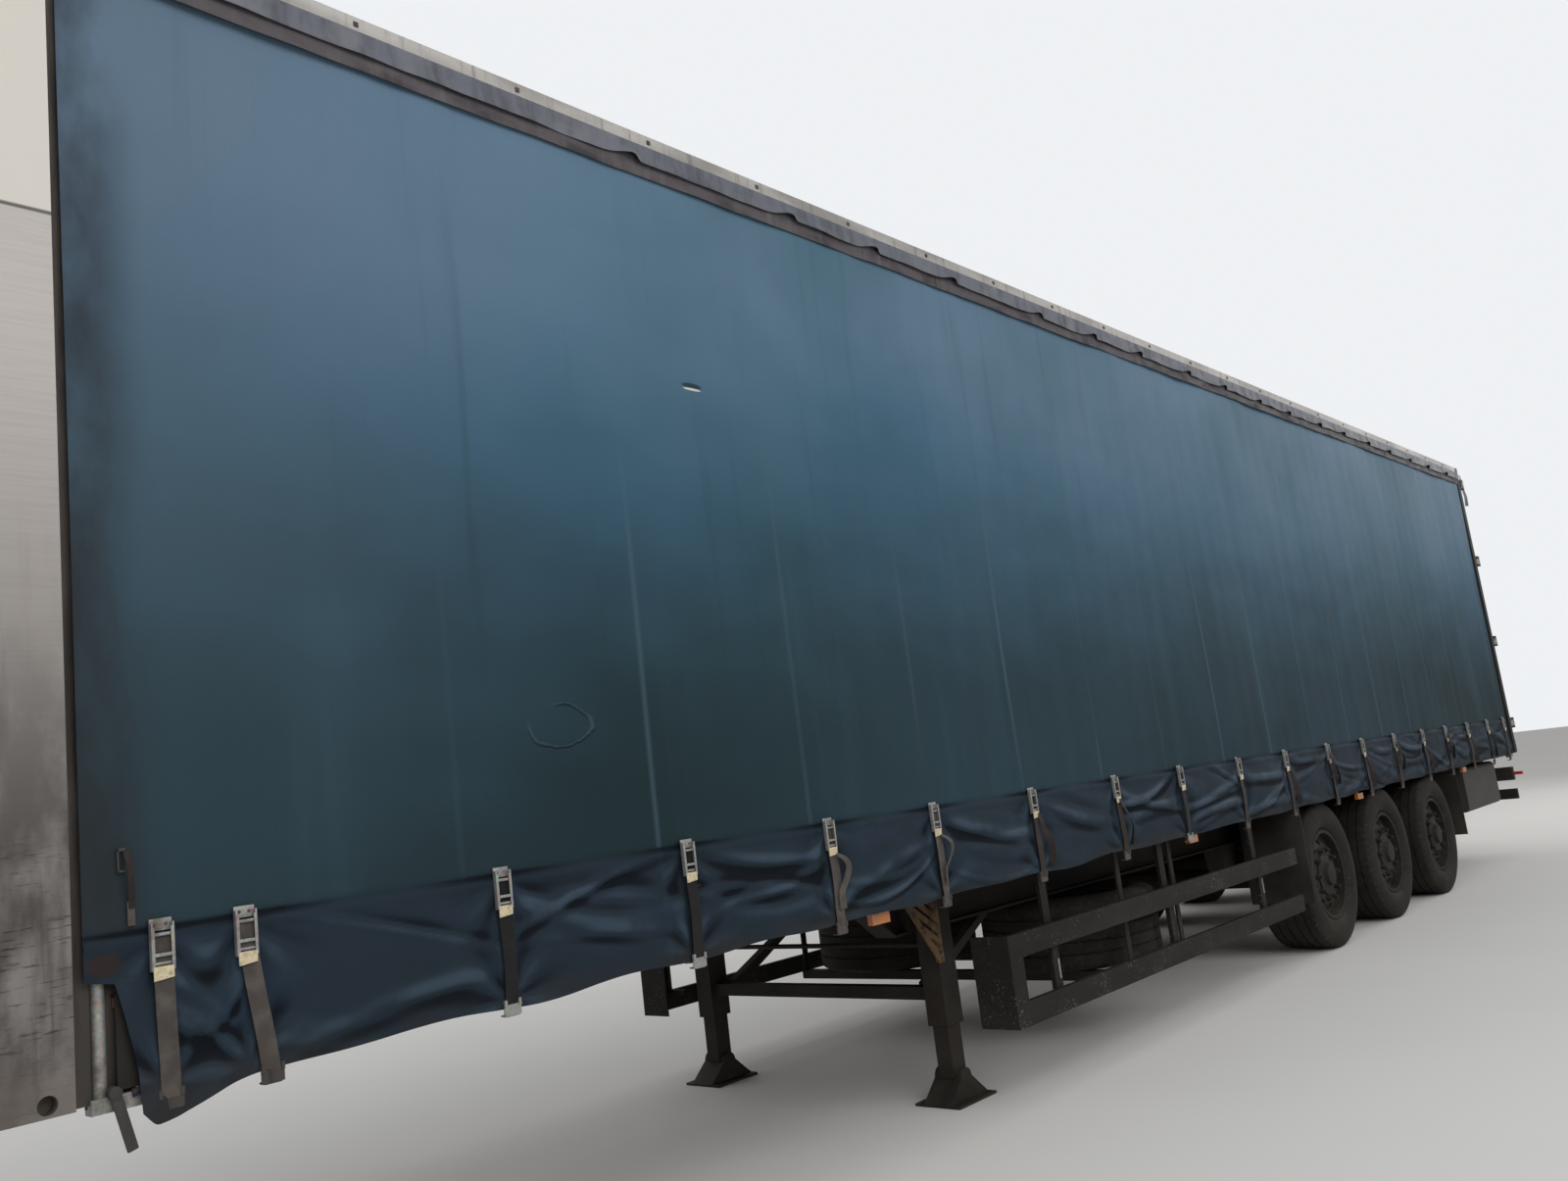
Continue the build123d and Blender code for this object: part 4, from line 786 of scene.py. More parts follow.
def special_finishes():
    """Spangled zinc, plywood and lenses."""
    zinc = Coat("galvanised", (0.42, 0.42, 0.40))
    zinc.layer(0.35, 1, zinc.cells(170.0, "Color"), kind="MULTIPLY")
    zinc.layer(zinc.clouds(14.0, 0.5, 0.75, 6.0), 1, (0.16, 0.14, 0.115), 0.75)
    zinc.layer(zinc.scuffs(60.0, 0.35), 0.6, RUST, 0.85)
    zinc.bump(zinc.grain(220.0, 3.0), 0.0004, 0.6)
    zinc.done({"Metallic": 0.75})

    wood = Coat("plywood", (0.13, 0.075, 0.042))
    rings = add(wood.tree, "ShaderNodeTexWave", {
        "Vector": wood.drawn((0.6, 9.0, 9.0)), "Scale": 1.6, "Distortion": 7.0, "Detail": 4.0}).outputs["Fac"]
    wood.layer(rings, 0.5, (0.075, 0.042, 0.024), 0.6)
    wood.layer(wood.clouds(3.0, 0.45, 0.72, 6.0), 1, (0.15, 0.125, 0.10), 0.8)
    wood.bump(rings, 0.0008, 0.5)
    wood.done({})

    for name, colour, pale in (("red_lens", (0.42, 0.012, 0.010), (0.22, 0.03, 0.025)),
                               ("amber_lens", (0.42, 0.13, 0.02), (0.16, 0.09, 0.05))):
        lens = Coat(name, colour, rough=0.18)
        lens.layer(lens.clouds(9.0, 0.45, 0.75, 6.0), 1, pale, 0.5)
        lens.bump(lens.cells(130.0), 0.0015, 0.6)
        lens.done({"Coat Weight": 0.4})


# The finish of every CAD node; for some of them a finer piece of this script shows in their place
CAD_FINISHES = {
    "frame_paint": ("main_beams", "cross_members", "side_raves", "rear_frame", "axle_beams",
                    "suspension_hangers", "trailing_arms", "landing_legs", "landing_feet", "air_tanks",
                    "lamp_beam", "spare_carrier", "landing_crank"),
    "plywood": ("load_floor",),
    "bare_steel": ("coupling_plate",),
    "post_metal": ("front_posts",),
    "aluminium": ("front_wall", "roof_rails", "roof_bows", "side_posts"),
    "black_plastic": ("service_couplings", "tool_box"),
    "rubber": ("rear_buffers", "air_springs", "mudflaps"),
    "galvanised": ("curtain_poles", "door_gear_left", "door_gear_right", "curtain_buckles"),
    "guard_metal": ("side_guards", "underrun_bar"),
    "door_panel": ("rear_door_left", "rear_door_right"),
    "wheel_paint": ("spare_rims", *(f"wheel_{SIDES[side]}_{n}" for side, n, _ in WHEELS)),
    "tyre": ("spare_tyres", *(f"tyre_{SIDES[side]}_{n}" for side, n, _ in WHEELS)),
    "red_lens": ("rear_lamps",),
    "amber_lens": ("side_markers",),
    "roof_cloth": ("roof_cover",),
    "webbing_grey": ("curtain_straps",),
    "curtain_cloth": ("curtain_left", "curtain_right"),
}


class TRAILER_OT_finishes(bpy.types.Operator):
    """Mix every finish and lay it on the CAD nodes"""
    bl_idname = "trailer.finishes"
    bl_label = "Finishes"

    def execute(self, context):
        cloth, webbing = context.scene.trailer_cloth, context.scene.trailer_webbing
        for build in (road_dust_group, run_marks_group, weave_group, scuffs_group):
            build()
        chosen = {"valance_cloth": cloth.valance_colour, "roof_cloth": cloth.roof_colour}
        for name, (colour, *rest) in PLAIN_FINISHES.items():
            plain_finish(name, chosen.get(name, colour), *rest)
        webbing_finish("webbing_grey", webbing.grey, (0.105, 0.092, 0.082))
        webbing_finish("webbing_brown", (0.022, 0.016, 0.014), (0.040, 0.030, 0.026))
        webbing_finish("webbing_black", webbing.black, (0.013, 0.013, 0.014))
        curtain_finish(cloth.colour)
        post_finish()
        special_finishes()
        for name, nodes in CAD_FINISHES.items():
            for node in nodes:
                lay(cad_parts[node], name)
        return {"FINISHED"}


# Curtains

SKIRT_ROWS = 40
UPPER_ROWS = 12
# How much closer together the columns stand towards the front, and how far back the cut corner moves them
CROWDING = 1.4
EDGE_BLEND = 0.15
# Where a strap pulls at the skirt: the height, and the sense in which creases run from it (1 down, -1 up)
PULLS = ((SEAM_Z - 0.02, 1.0), (STRAP_FOOT + 0.02, -1.0))


CREASES_PER_BAY = 6
# What is drawn for each crease and bay: starting depth, slope, sag, width and strength
CREASE_RANGES = ((0.03, 0.33), (-0.20, 0.24), (-0.05, 0.09), (0.012, 0.028), (-0.45, 0.75))


def skirt_shape(s, z, side, fold):
    """How far the curtain stands out of its plane at a station and height as its skirt folds, and a tone for
    the painted light and shade of the folds and the seam groove.
    """
    dice = np.random.default_rng(11 if side > 0 else 29)
    out = 0.005 * waves(s / 2.6, z / 3.0, seed=3 + side, count=7)
    out = out + 0.002 * waves(s * 2.2, z * 0.25, seed=5 + side, count=9)
    depth = np.clip(SEAM_Z - z, 0.0, None)
    reach = np.clip(depth / (SEAM_Z - STRAP_FOOT), 0.0, 1.1)
    bay = np.clip(np.searchsorted(STATIONS, s) - 1, 0, len(STATIONS) - 2)
    across = rise(s - STATIONS[bay], STATIONS[bay + 1] - STATIONS[bay])
    arch = np.sin(math.pi * across)
    swell = dice.uniform(0.5, 1.3, len(STATIONS))[bay]
    bulge = fold * swell * arch ** 0.8 * np.sin(math.pi * np.clip(reach, 0, 1) * 0.85) ** 0.9
    creases = 0.0 * bulge
    for _ in range(CREASES_PER_BAY):
        start, slope, sag, width, strength = (
            dice.uniform(low, high, len(STATIONS))[bay] for low, high in CREASE_RANGES)
        gap = depth - (start + slope * (across - 0.5) + sag * 4 * across * (1 - across))
        creases = creases + strength * arch ** 0.5 * (bell(gap, width) - 0.8 * bell(gap - 1.7 * width, width))
    for station in STATIONS:
        for height, sense in PULLS:
            ds, dz = s - station, (height - z) * sense
            far = np.hypot(ds, dz)
            ray = np.arctan2(ds, np.maximum(dz, -0.02))
            phase = dice.uniform(0, 2 * math.pi)
            creases = creases + 0.42 * np.sin(7.0 * ray + phase) * bell(far, 0.17) * rise(far, 0.06)
    bulge = bulge + 0.62 * fold * creases
    inside = (s >= STATIONS[0]) & (s <= STATIONS[-1])
    press = np.min(np.abs(s[..., None] - STATIONS), axis=-1)
    below = rise(depth, 0.03)
    out = out + np.where(inside, bulge, 0.4 * bulge) * below * (1.0 - 0.88 * bell(press, 0.055))
    # the seam where the pocket is welded on
    out = out - 0.0045 * bell(z - SEAM_Z, 0.006) + 0.004 * bell(z - SEAM_Z + 0.022, 0.012)
    # towards the rear the foot is turned under the side rave
    out = out - 0.016 * rise(s - 7.0, 3.0) * rise(1.075 - z, 0.10)
    # painted shade: a dark line along the seam groove, strongest near each buckle; with the creases it makes
    # the tone of painted light and shade on the skirt
    groove = bell(z - SEAM_Z + 0.004, 0.010) * (0.25 + 0.75 * bell(press, 0.20))
    tone = 1.7 * creases * below * rise(reach, 0.25) - 0.9 * groove
    return out, np.clip(tone, -1.0, 1.0)


# The front lower corner, which is cut away: heights with the stations of its edge
CUT_HEIGHTS = (0.90, 0.908, 1.046, 1.159, 1.248)
CUT_STATIONS = (0.140, 0.140, 0.132, 0.111, 0.090)
CUT_TOP = 1.249


def curtain_edge(z):
    """Station at which the curtain begins at a height."""
    return np.where(z < CUT_TOP, np.interp(z, CUT_HEIGHTS, CUT_STATIONS), CURTAIN_FRONT)


def curtain_foot(s, side):
    """Height of the curtain's foot at a station."""
    drooping_corner, slow_rise = 0.062 * bell(s - 0.17, 0.16), 0.018 * rise(s, 13.0)
    swell = 0.006 * waves(s * 0.9, s * 0.0, seed=17 + side, count=7)
    rear_corner = 0.006 * (1.0 - rise(np.abs(s - 13.3), 0.3))
    return 0.975 - drooping_corner + slow_rise + swell - rear_corner


class TRAILER_OT_curtains(bpy.types.Operator):
    """Hang both side curtains, with their folded skirts"""
    bl_idname = "trailer.curtains"
    bl_label = "Side curtains"

    def execute(self, context):
        settings = context.scene.trailer_cloth
        for side, hand in SIDES.items():
            piece, column, row = cloth_grid(
                f"curtain_{hand}_cloth", settings.columns, SKIRT_ROWS + UPPER_ROWS)
            s = CURTAIN_FRONT + (CURTAIN_REAR - CURTAIN_FRONT) * (column / settings.columns) ** CROWDING
            foot = curtain_foot(s, side)
            z = np.where(row < SKIRT_ROWS, foot + row / SKIRT_ROWS * (SKIRT_TOP - foot),
                         SKIRT_TOP + (row - SKIRT_ROWS) / UPPER_ROWS * (CURTAIN_TOP - SKIRT_TOP))
            s = s + (curtain_edge(z) - CURTAIN_FRONT) * (1.0 - rise(s - CURTAIN_FRONT, EDGE_BLEND))
            out, tone = skirt_shape(s, z, side, settings.fold)
            # the foot of the last corner flares out rearward, and that of the first one hangs loose
            flare = (rise(s - 13.1, 0.28) * rise(1.25 - z, 0.3)) ** 2
            s = s + 0.045 * flare
            loose = bell(s - 0.12, 0.09) * rise(1.24 - z, 0.3)
            # the fold attribute carries the tone of painted light and shade for the skirt's folds and seam
            # groove
            piece.data.attributes.new("fold", "FLOAT", "POINT").data.foreach_set("value", tone)
            side_sheet(piece, side, s, CURTAIN_Y + out + 0.03 * flare + 0.018 * loose, z, settings.thickness)
            finish(piece, "curtain_cloth", replaced=[f"curtain_{hand}"])
        return {"FINISHED"}


VALANCE_TOP = RAIL_TOP - 0.052
VALANCE_COLUMNS = 900
VALANCE_THICKNESS = 0.0022
# The flap's share of the drop, how far the strip reaches up behind it, and how high the flap's foot curls
FLAP_SHARE = 0.60
STRIP_OVERLAP = 0.026
CURL = 0.021
# Stations where the valance's foot curls up in a small breaking wave
KNUCKLES = np.array([1.97, 2.86, 3.44, 4.07, 4.91, 5.52, 6.10, 6.81, 7.39, 8.02, 8.60, 9.27, 9.84,
                     10.49, 11.08, 11.72, 12.30, 12.95])


def hem_lift(s, reach):
    """How far a hem curls up at each station: slowly towards a crest, then back at once."""
    gap = s[..., None] - KNUCKLES
    return bell(gap, reach * np.where(gap < 0, 0.085, 0.026)).max(axis=-1)


class TRAILER_OT_valances(bpy.types.Operator):
    """Hang the curled flap over the runners on each side, with the dirty strip below it"""
    bl_idname = "trailer.valances"
    bl_label = "Valances"

    def execute(self, context):
        drop = context.scene.trailer_cloth.valance_drop
        start, end = 0.02, 13.405
        foot = VALANCE_TOP - drop * FLAP_SHARE
        for side, hand in SIDES.items():
            for name, rows, low, high, base in (
                ("valance", 8, foot, VALANCE_TOP, 1.2785),
                ("valance_strip", 5, VALANCE_TOP - drop, foot + STRIP_OVERLAP, 1.2725),
            ):
                piece, column, row = cloth_grid(f"{name}_{hand}", VALANCE_COLUMNS, rows)
                s = start + (end - start) * column / VALANCE_COLUMNS
                share = 1.0 - row / rows
                swell = 0.004 * waves(s * 1.3, s * 0, seed=41 + side, count=6)
                if name == "valance":
                    z = high - share * (high - low - CURL * hem_lift(s, 1.0) + swell)
                    ripples = 0.004 * waves(s * 2.5, z * 6, seed=44 + side, count=8)
                    out = 0.002 + share ** 1.5 * (0.004 + ripples)
                    out = out + 0.015 * share ** 2 * hem_lift(s - 0.012, 0.8)
                    out = out - 0.0025 * bell(share - 0.5, 0.05)
                else:
                    z = high - share * (high - low + 0.6 * swell)
                    out = 0.002 * share * waves(s * 1.9, z * 3, seed=51 + side, count=8)
                side_sheet(piece, side, s, base + out, z, VALANCE_THICKNESS)
                finish(piece, f"{name}_cloth")
        return {"FINISHED"}


# Straps and buckles

def strap_path(lean, n, face, foot):
    """Path of one strap from its buckle down to its hook, a little slack."""
    path = []
    for t in np.linspace(0.0, 1.0, 17):
        slack = 0.009 * math.sin(math.pi * t) + 0.002 * math.sin(9 * t + n)
        path.append((-lean * t ** 1.3, face + slack, STRAP_TOP + (foot - STRAP_TOP) * t))
    return path


def tail_path(tail, n, k, face, length, top):
    """Path of one loose end of webbing that hangs out of a buckle."""
    swing = 0.5 + 0.5 * math.sin(n * 1.7)
    path = []
    for t in np.linspace(0.0, 1.0, 15):
        if tail == "curl":
            bow = math.sin(math.pi * min(t * 1.25, 1.0))
            path.append((-0.012 - 0.034 * bow * (0.6 + 0.4 * swing),
                         face + 0.020 + 0.028 * bow * (1 - 0.3 * t),
                         top - length * t * (0.35 + 0.65 * t)))
        else:
            x = -0.010 - (0.012 + 0.055 * t) * (-0.7 if k else 1) + 0.014 * math.sin(7 * t + n + k)
            path.append((x, face + 0.014 + 0.020 * math.sin(math.pi * t) + 0.004 * k, top - length * t))
    return path


def strap_hook(x, face, foot):
    """A flat hook under the foot of a strap: a slotted plate bent round the rave."""
    return join([
        bar((x - 0.029, face - 0.004, foot - 0.016), (x + 0.029, face + 0.003, foot + 0.016), 0.0015),
        bar((x - 0.029, face - 0.004, foot + 0.010), (x - 0.020, face + 0.0065, foot + 0.030), 0.0012),
        bar((x + 0.020, face - 0.004, foot + 0.010), (x + 0.029, face + 0.0065, foot + 0.030), 0.0012),
        bar((x - 0.022, face - 0.030, foot - 0.018), (x + 0.022, face + 0.002, foot - 0.013), 0.0012),
    ], "strap_hook")


class TRAILER_OT_straps(bpy.types.Operator):
    """Thread the webbing of each buckle, with its hook and loose tail"""
    bl_idname = "trailer.straps"
    bl_label = "Straps"

    def execute(self, context):
        settings = context.scene.trailer_webbing
        width, thickness = settings.width, settings.thickness
        webs = {"grey": [], "black": [], "dark": []}
        hooks = {"grey": [], "black": [], "dark": []}
        face = CURTAIN_Y + 0.0085
        for side in SIDES:
            for n, (station, lean, colour, tail) in enumerate(BUCKLES):
                place = on_side(side, station)
                foot = STRAP_FOOT - 0.02 + (0.012 if colour == "black" else 0.0)
                strap = ribbon(strap_path(lean, n, face, foot), width, thickness, 0.10 * math.sin(n * 2.1))
                webs[colour].append(moved(strap, place))
                if side > 0 or station < RIGHT_TAILS_END:
                    for k, (length, top) in enumerate(TAILS[tail]):
                        twist = (-1) ** (n + k) * (0.5 if tail == "curl" else 1.1)
                        path = tail_path(tail, n, k, face, length, top)
                        loose = ribbon(path, width * (0.45 if k else 0.6), thickness, twist)
                        webs[colour].append(moved(loose, place))
                hooks[colour].append(moved(strap_hook(-lean, face, foot), place))
        finish(join(webs["dark"], "straps_dark"), "webbing_brown")
        finish(join(webs["grey"], "straps_grey"), "webbing_grey", replaced=["curtain_straps"])
        finish(join(webs["black"], "straps_black"), "webbing_black")
        finish(join(hooks["grey"] + hooks["dark"], "strap_hooks_dull"), "grimy_metal")
        finish(join(hooks["black"], "strap_hooks_bright"), "galvanised")
        return {"FINISHED"}


class TRAILER_OT_buckles(bpy.types.Operator):
    """Make the over-centre buckle and set one at every station"""
    bl_idname = "trailer.buckles"
    bl_label = "Buckles"

    def execute(self, context):
        face = CURTAIN_Y + 0.006
        whole = [bar((-0.026, face, 1.343), (0.026, face + 0.004, 1.372), 0.0015)]
        for middle, half, inner, outer, low, high, bevel in (
            (0.0245, 0.0022, 0.001, 0.017, 1.252, 1.362, 0.0012),
            (0.0225, 0.004, 0.0150, 0.0175, 1.262, 1.352, 0.001),
        ):
            whole += [bar((x - half, face + inner, low), (x + half, face + outer, high), bevel)
                      for x in (-middle, middle)]
        whole += [rod((-0.027, face + 0.009, z), (0.027, face + 0.009, z), 0.0045, 12)
                  for z in (STRAP_TOP, 1.268)]
        rivets = [rod((x, face + 0.003, 1.358), (x, face + 0.0068, 1.358), 0.0048, 12, 0.6)
                  for x in (-0.012, 0.012)]
        bridge = bar((-0.021, face + 0.012, 1.284), (0.021, face + 0.0165, 1.292), 0.001)
        tab = bar((-0.0235, face + 0.0135, 1.229), (0.0235, face + 0.0170, 1.262), 0.0015)
        edit(tab, bpy.ops.mesh.bisect, plane_co=(0, 0, 1.232), plane_no=(0.12, 0, 1), clear_inner=True,
             use_fill=True)
        places = [on_side(side, station) for side in SIDES for station in STATIONS]
        for piece, name, finish_name, replaced in (
            (join(whole, "buckle_frame"), "buckle_frames", "galvanised", ["curtain_buckles"]),
            (join(rivets, "buckle_rivets"), "buckle_rivets_set", "bare_steel", ()),
            (bridge, "buckle_bridges", "galvanised", ()),
            (tab, "buckle_tabs", "lever_tab", ()),
        ):
            finish(smooth(repeat(piece, places, name)), finish_name, replaced=replaced)
        return {"FINISHED"}


# The bead edge of a rim: distance out, radius and half thickness
RIM_EDGE_Y = 1.1685
RIM_EDGE_R = 0.2965
RIM_EDGE_HALF = 0.0042
# Bolts of the roof rail: station of the first one, spacing, number and height
BOLT_START, BOLT_PITCH, BOLT_COUNT, BOLT_Z = 0.27, 0.602, 22, 3.974
# Slats of the gusset: half length, tilt in degrees, height of the first one, spacing and number
SLAT_HALF, SLAT_TILT, SLAT_Z, SLAT_PITCH, SLAT_COUNT = 0.25, -34, 0.68, 0.052, 7


class TRAILER_OT_fittings(bpy.types.Operator):
    """Add the small fittings of the front corners, roof rails, guards and wheel boxes"""
    bl_idname = "trailer.fittings"
    bl_label = "Fittings"

    def execute(self, context):
        self.front_corner()
        for side, n, x in WHEELS:
            deselect_all()
            bpy.ops.mesh.primitive_torus_add(
                location=(x, side * RIM_EDGE_Y, TYRE_R), rotation=(math.pi / 2, 0, 0), major_segments=72,
                minor_segments=8, major_radius=RIM_EDGE_R, minor_radius=RIM_EDGE_HALF)
            edge = smooth(settle(bpy.context.object), 60)
            edge.name = f"rim_edge_{SIDES[side]}_{n}"
            finish(edge, "rim_metal", f"{SIDES[side]}_wheel_{n}")
        rail_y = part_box("roof_rails")[1].y
        head = bar((-0.008, rail_y - 0.001, -0.008), (0.008, rail_y + 0.004, 0.008), 0.0012)
        places = [on_side(side, BOLT_START + BOLT_PITCH * n, BOLT_Z)
                  for side in SIDES for n in range(BOLT_COUNT)]
        finish(repeat(head, places, "rail_bolts"), "grimy_metal")
        clips = [bar((x - 0.020, 1.216, low), (x - 0.008, 1.221, low + 0.09), 0.001)
                 for x, low in ((2.530, 0.485), (0.050, 0.530))]
        both_sides(clips, "guard_clips", "galvanised")
        flap = bar((-0.706, 0.820, 0.365), (-0.694, 1.245, 1.000), 0.003)
        both_sides([flap], "front_flaps", "rubber")
        tube = rod((-0.700, 0.560, 1.005), (-0.700, 1.240, 1.005), 0.017)
        both_sides([tube], "front_flap_tubes", "frame_paint")
        torn = ribbon([(-6.800, 1.272, 3.935), (-6.822, 1.279, 3.86), (-6.838, 1.274, 3.78),
                       (-6.846, 1.283, 3.70), (-6.850, 1.276, 3.60)], 0.045, 0.002, twist=0.5)
        finish(named(torn, "torn_strip"), "valance_cloth")
        self.gussets()
        return {"FINISHED"}

    def gussets(self):
        """The slotted triangular plate ahead of each landing leg, in a finish with painted sunlight."""
        slats = [tilted(bar((-SLAT_HALF, 0.855, -0.013), (SLAT_HALF, 0.861, 0.013)),
                        3.02, 0, SLAT_Z + SLAT_PITCH * k, SLAT_TILT) for k in range(SLAT_COUNT)]
        plate = join(slats, "gusset_slats")
        for place, normal, behind in (((2.93, 0, 0), (1, 0, 0), True), ((0, 0, 1.0), (0, 0, 1), False),
                                      ((3.07, 0, 0.82), (0.36, 0, -0.26), False)):
            edit(plate, bpy.ops.mesh.bisect, plane_co=place, plane_no=normal, clear_inner=behind,
                 clear_outer=not behind, use_fill=True)
        slope = tilted(bar((-0.225, 0.853, -0.016), (0.225, 0.863, 0.016), 0.002), 3.07, 0, 0.82, -54.2)
        upright = bar((2.915, 0.828, 0.630), (2.940, 0.863, 1.004), 0.002)
        head = bar((2.925, 0.853, 0.975), (3.215, 0.863, 1.004), 0.002)
        both_sides([plate, slope, upright, head], "leg_gussets", "painted_sunlit_plate")

    def front_corner(self):
        """The strip behind each front post, the closing strap, and the roller pole's ratchet lever."""
        face = CURTAIN_Y + 0.0075
        strip = bar((6.679, 1.226, 0.985), (6.7260, 1.238, 3.935), 0.002)
        plate = bar((6.580, 1.218, 0.975), (6.690, 1.225, 1.300), 0.002)
        both_sides([strip, plate], "post_strips", "grimy_metal")
        x, z = FRONT_POST_X - 0.1145, 1.516
        ring = ((-0.011, 0.011, -0.028, -0.023), (-0.011, 0.011, 0.020, 0.028),
                (-0.011, -0.007, -0.028, 0.028), (0.007, 0.011, -0.028, 0.028))
        parts = [bar((x + left, face, z + low), (x + right, face + 0.004, z + high), 0.001)
                 for left, right, low, high in ring]
        end = FRONT_POST_X - 0.1305
        parts.append(bar((end - 0.0085, face, 1.364), (end + 0.0085, face + 0.003, 1.420), 0.001))
        parts += [rod((end, face + 0.002, stud), (end, face + 0.0055, stud), 0.0035, 10)
                  for stud in (1.376, 1.406)]
        both_sides(parts, "closing_plates", "grimy_metal")
        path = [(x - 0.008 - 0.010 * u ** 1.2, face + 0.005 + 0.014 * math.sin(math.pi * min(1.0, u * 1.15)),
                 z + 0.024 - 0.136 * u) for u in np.linspace(0.0, 1.0, 13)]
        both_sides([ribbon(path, 0.014, 0.0022)], "closing_straps", "webbing_brown")
        lever = bar((-0.0125, -0.004, -0.070), (0.0125, 0.004, 0.070), 0.003)
        tilted(lever, 6.6235, 1.262, 0.938, 14.6)
        hub = rod((6.640, 1.215, 1.002), (6.640, 1.268, 1.002), 0.015, 20, bevel=0.002)
        link = rod((6.600, 1.250, 0.992), (6.560, 1.250, 1.000), 0.010, 14)
        both_sides([lever, hub, link], "ratchet_levers", "black_plastic")
        nut = rod((6.6625, 1.236, 0.992), (6.6625, 1.236, 1.012), 0.013, 6, bevel=0.001)
        both_sides([nut], "pole_nuts", "galvanised")


# The tyre's section: distance from the middle of the tread and radius, from the shoulder to the bead
TREAD_HALF = 0.150
GROOVES = (-0.096, -0.033, 0.033, 0.096)
SIDEWALL = ((0.158, 0.487), (0.168, 0.479), (0.178, 0.463), (0.186, 0.440), (0.1915, 0.412), (0.1925, 0.392),
            (0.1905, 0.372), (0.184, 0.350), (0.175, 0.330), (0.166, 0.316), (0.158, 0.309), (0.150, 0.305),
            (0.1475, 0.300))
GROOVE_HALF, GROOVE_FLOOR_HALF = 0.0062, 0.0040
# How far the grooves swing, and how deep the shoulder's notches are and how far out they reach
ZIGZAG = 0.0022
NOTCH = 0.0065
NOTCH_END = 0.172
SPARE_Y = 0.620


def tyre_mesh(settings):
    """One tyre about Z with ribs, zigzag grooves and notched shoulders: a strip that is closed round."""
    floor, edge = TYRE_R - settings.groove_depth, TYRE_R - 0.0015
    # each corner of the section: distance from the middle, radius, and one where it follows the zigzag
    section = [(-y, r, 0) for y, r in reversed(SIDEWALL)] + [(-TREAD_HALF, edge, 0)]
    for groove in GROOVES:
        start = groove - GROOVE_HALF
        section += [((section[-1][0] + start) / 2, TYRE_R, 0), (start, TYRE_R, 1),
                    (groove - GROOVE_FLOOR_HALF, floor, 1), (groove + GROOVE_FLOOR_HALF, floor, 1),
                    (groove + GROOVE_HALF, TYRE_R, 1)]
    section += [((section[-1][0] + TREAD_HALF) / 2, TYRE_R, 0), (TREAD_HALF, edge, 0)]
    section += [(y, r, 0) for y, r in SIDEWALL]
    steps = settings.blocks * 4
    piece, column, row = cloth_grid("tyre", len(section) - 1, steps)
    across, radius, wavy = np.array(section)[column].T
    beat = row % 4
    across = across + wavy * ZIGZAG * np.array([1.0, 0.0, -1.0, 0.0])[beat]
    shoulder = (np.abs(across) > TREAD_HALF - 0.001) & (np.abs(across) < NOTCH_END)
    radius = radius - np.where(shoulder & (beat == 0), NOTCH, 0.0)
    turn = row / steps * 2 * math.pi
    set_points(piece, np.stack([radius * np.cos(turn), radius * np.sin(turn), across], axis=1))
    edit(piece, bpy.ops.mesh.remove_doubles, threshold=0.00005)
    edit(piece, bpy.ops.mesh.normals_make_consistent, inside=False)
    return smooth(piece, 35)


class TRAILER_OT_tyres(bpy.types.Operator):
    """Mould one worn tyre and fit it to every wheel and both spares"""
    bl_idname = "trailer.tyres"
    bl_label = "Tyres"

    def execute(self, context):
        model = tyre_mesh(context.scene.trailer_tread)
        for side, n, x in WHEELS:
            turn = Matrix.Rotation(-math.pi / 2 * side, 4, "X")
            place = Matrix.Translation((x, side * WHEEL_Y, TYRE_R)) @ turn @ Matrix.Rotation(0.7 * n, 4, "Z")
            name = f"tyre_{SIDES[side]}_{n}"
            twin = copy_of(model, place)
            twin.name = f"{name}_tread"
            finish(twin, "tyre", f"{SIDES[side]}_wheel_{n}", [name])
        low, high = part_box("spare_tyres")
        middle = (low + high) / 2
        places = [Matrix.Translation((middle.x, side * SPARE_Y, middle.z)) for side in SIDES]
        finish(repeat(model, places, "spare_tyre_treads"), "tyre", replaced=["spare_tyres"])
        return {"FINISHED"}


# Camera of the photograph, solved from its straight edges: place, right, up and ahead
CAMERA_PLACE = (7.749, 4.415, 1.481)
CAMERA_RIGHT = (-0.6709, 0.7317, -0.1205)
CAMERA_UP = (0.0386, 0.1968, 0.9797)
CAMERA_AHEAD = (-0.7406, -0.6526, 0.1602)
# Area lamps: place, the point that they are aimed at, size and share of the key light's power
LAMPS = {
    "key": ((5.0, 13.0, 9.0), (0.0, 0.0, 1.6), 9.0, 1.0),
    "front": ((17.0, 3.0, 7.0), (2.0, 0.0, 1.8), 6.0, 0.35),
    "rear": ((-15.0, 6.0, 7.0), (-3.0, 0.0, 1.5), 6.0, 0.4),
    "far": ((0.0, -13.0, 8.0), (0.0, 0.0, 1.6), 9.0, 0.6),
}


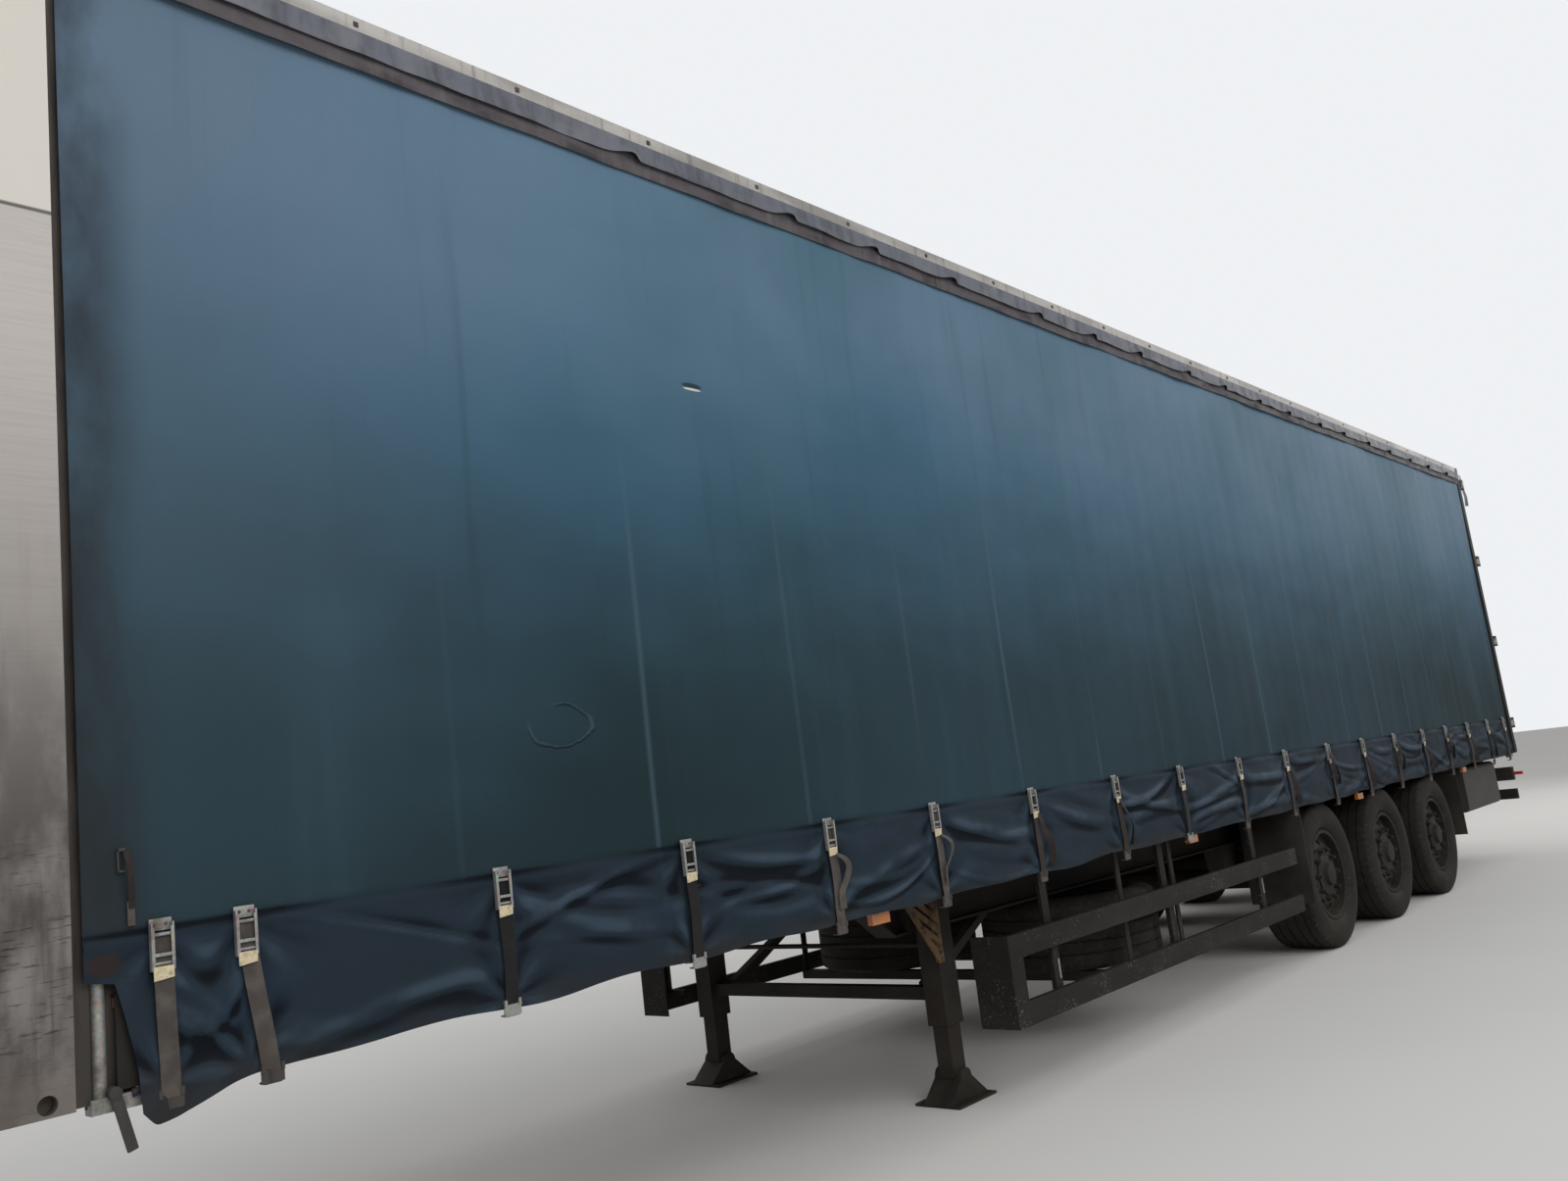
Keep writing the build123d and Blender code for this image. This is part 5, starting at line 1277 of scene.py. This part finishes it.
class TRAILER_OT_stage(bpy.types.Operator):
    """Lay the pale floor, light it softly and set the camera"""
    bl_idname = "trailer.stage"
    bl_label = "Stage"

    def execute(self, context):
        settings = context.scene.trailer_stage
        self.floor(settings.floor_colour)
        self.backdrop(settings)
        for name, (place, aim, size, share) in LAMPS.items():
            deselect_all()
            turn = (Vector(aim) - Vector(place)).to_track_quat("-Z", "Y").to_euler()
            bpy.ops.object.light_add(type="AREA", location=place, rotation=turn)
            lamp = bpy.context.object
            lamp.name = f"{name}_light"
            lamp.data.shape = "RECTANGLE"
            lamp.data.size = size * 1.6
            lamp.data.size_y = size
            lamp.data.energy = settings.key_power * share
        self.camera(context.scene)
        context.scene.view_settings.view_transform = "Standard"
        return {"FINISHED"}

    def floor(self, colour):
        """The pale floor, with a faint cloudy tone."""
        deselect_all()
        bpy.ops.mesh.primitive_circle_add(vertices=96, radius=70.0, fill_type="NGON", location=(0, 0, 0))
        floor = settle(bpy.context.object)
        floor.name = "floor"
        material = bpy.data.materials.new("floor")
        material.use_nodes = True
        tree = material.node_tree
        shader = tree.nodes["Principled BSDF"].inputs
        tone = spread(noise(add(tree, "ShaderNodeTexCoord").outputs["Object"], 0.5, 3.0), 0.3, 0.7)
        put(shader["Base Color"], blend_colours(tree, tone, colour, [c * 0.97 for c in colour]))
        put(shader["Roughness"], 0.9)
        put(shader["Specular IOR Level"], 0.1)
        floor.data.materials.append(material)

    def backdrop(self, settings):
        """The plain backdrop that the camera sees, and the even light all round."""
        world = bpy.data.worlds.new("backdrop")
        bpy.context.scene.world = world
        world.use_nodes = True
        tree = world.node_tree
        tree.nodes.clear()
        path = add(tree, "ShaderNodeLightPath").outputs
        seen = calculate("MAXIMUM", path["Is Camera Ray"], path["Is Transmission Ray"])
        level = calculate("MULTIPLY_ADD", path["Is Glossy Ray"], settings.reflected - settings.ambient,
                          settings.ambient)
        light, shown = (add(tree, "ShaderNodeBackground", {"Color": colour, "Strength": strength}).outputs[0]
                        for colour, strength in (((1.0, 1.0, 1.0), level), (settings.backdrop_colour, 1.0)))
        both = add(tree, "ShaderNodeMixShader", {"Fac": seen, 1: light, 2: shown})
        add(tree, "ShaderNodeOutputWorld", {"Surface": both.outputs["Shader"]})

    def camera(self, scene):
        """The photograph's camera."""
        eye = bpy.data.cameras.new("photo_view")
        camera = bpy.data.objects.new("photo_view", eye)
        scene.collection.objects.link(camera)
        eye.sensor_width = 36.0
        eye.lens = 28.58
        eye.clip_end = 200.0
        turn = Matrix((CAMERA_RIGHT, CAMERA_UP, [-c for c in CAMERA_AHEAD])).transposed().to_4x4()
        camera.matrix_world = Matrix.Translation(CAMERA_PLACE) @ turn
        scene.camera = camera


class TRAILER_PT_dressing(bpy.types.Panel):
    """Shows the settings and the steps that dress the trailer"""
    bl_idname = "TRAILER_PT_dressing"
    bl_label = "Curtain Trailer"
    bl_space_type = "VIEW_3D"
    bl_region_type = "UI"
    bl_category = "Trailer"

    def draw(self, context):
        for group in SETTINGS:
            settings = getattr(context.scene, group)
            box = self.layout.box()
            for name in settings.__annotations__:
                box.prop(settings, name)
        for step in STEPS:
            self.layout.operator(step.bl_idname)


SETTINGS = {
    "trailer_cloth": ClothSettings,
    "trailer_webbing": WebbingSettings,
    "trailer_tread": TreadSettings,
    "trailer_stage": StageSettings,
}
STEPS = (
    TRAILER_OT_stage,
    TRAILER_OT_finishes,
    TRAILER_OT_curtains,
    TRAILER_OT_valances,
    TRAILER_OT_buckles,
    TRAILER_OT_straps,
    TRAILER_OT_fittings,
    TRAILER_OT_tyres,
)


def register():
    """Adds the settings, steps and panel to Blender."""
    for group in SETTINGS.values():
        bpy.utils.register_class(group)
    for name, group in SETTINGS.items():
        setattr(bpy.types.Scene, name, PointerProperty(type=group))
    for step in STEPS:
        bpy.utils.register_class(step)
    bpy.utils.register_class(TRAILER_PT_dressing)


def unregister():
    """Takes them out again."""
    bpy.utils.unregister_class(TRAILER_PT_dressing)
    for step in reversed(STEPS):
        bpy.utils.unregister_class(step)
    for name in SETTINGS:
        delattr(bpy.types.Scene, name)
    for group in SETTINGS.values():
        bpy.utils.unregister_class(group)


def main():
    """Runs every step in order."""
    register()
    for step in STEPS:
        area, name = step.bl_idname.split(".")
        getattr(getattr(bpy.ops, area), name)()


if __name__ == "__main__":
    main()
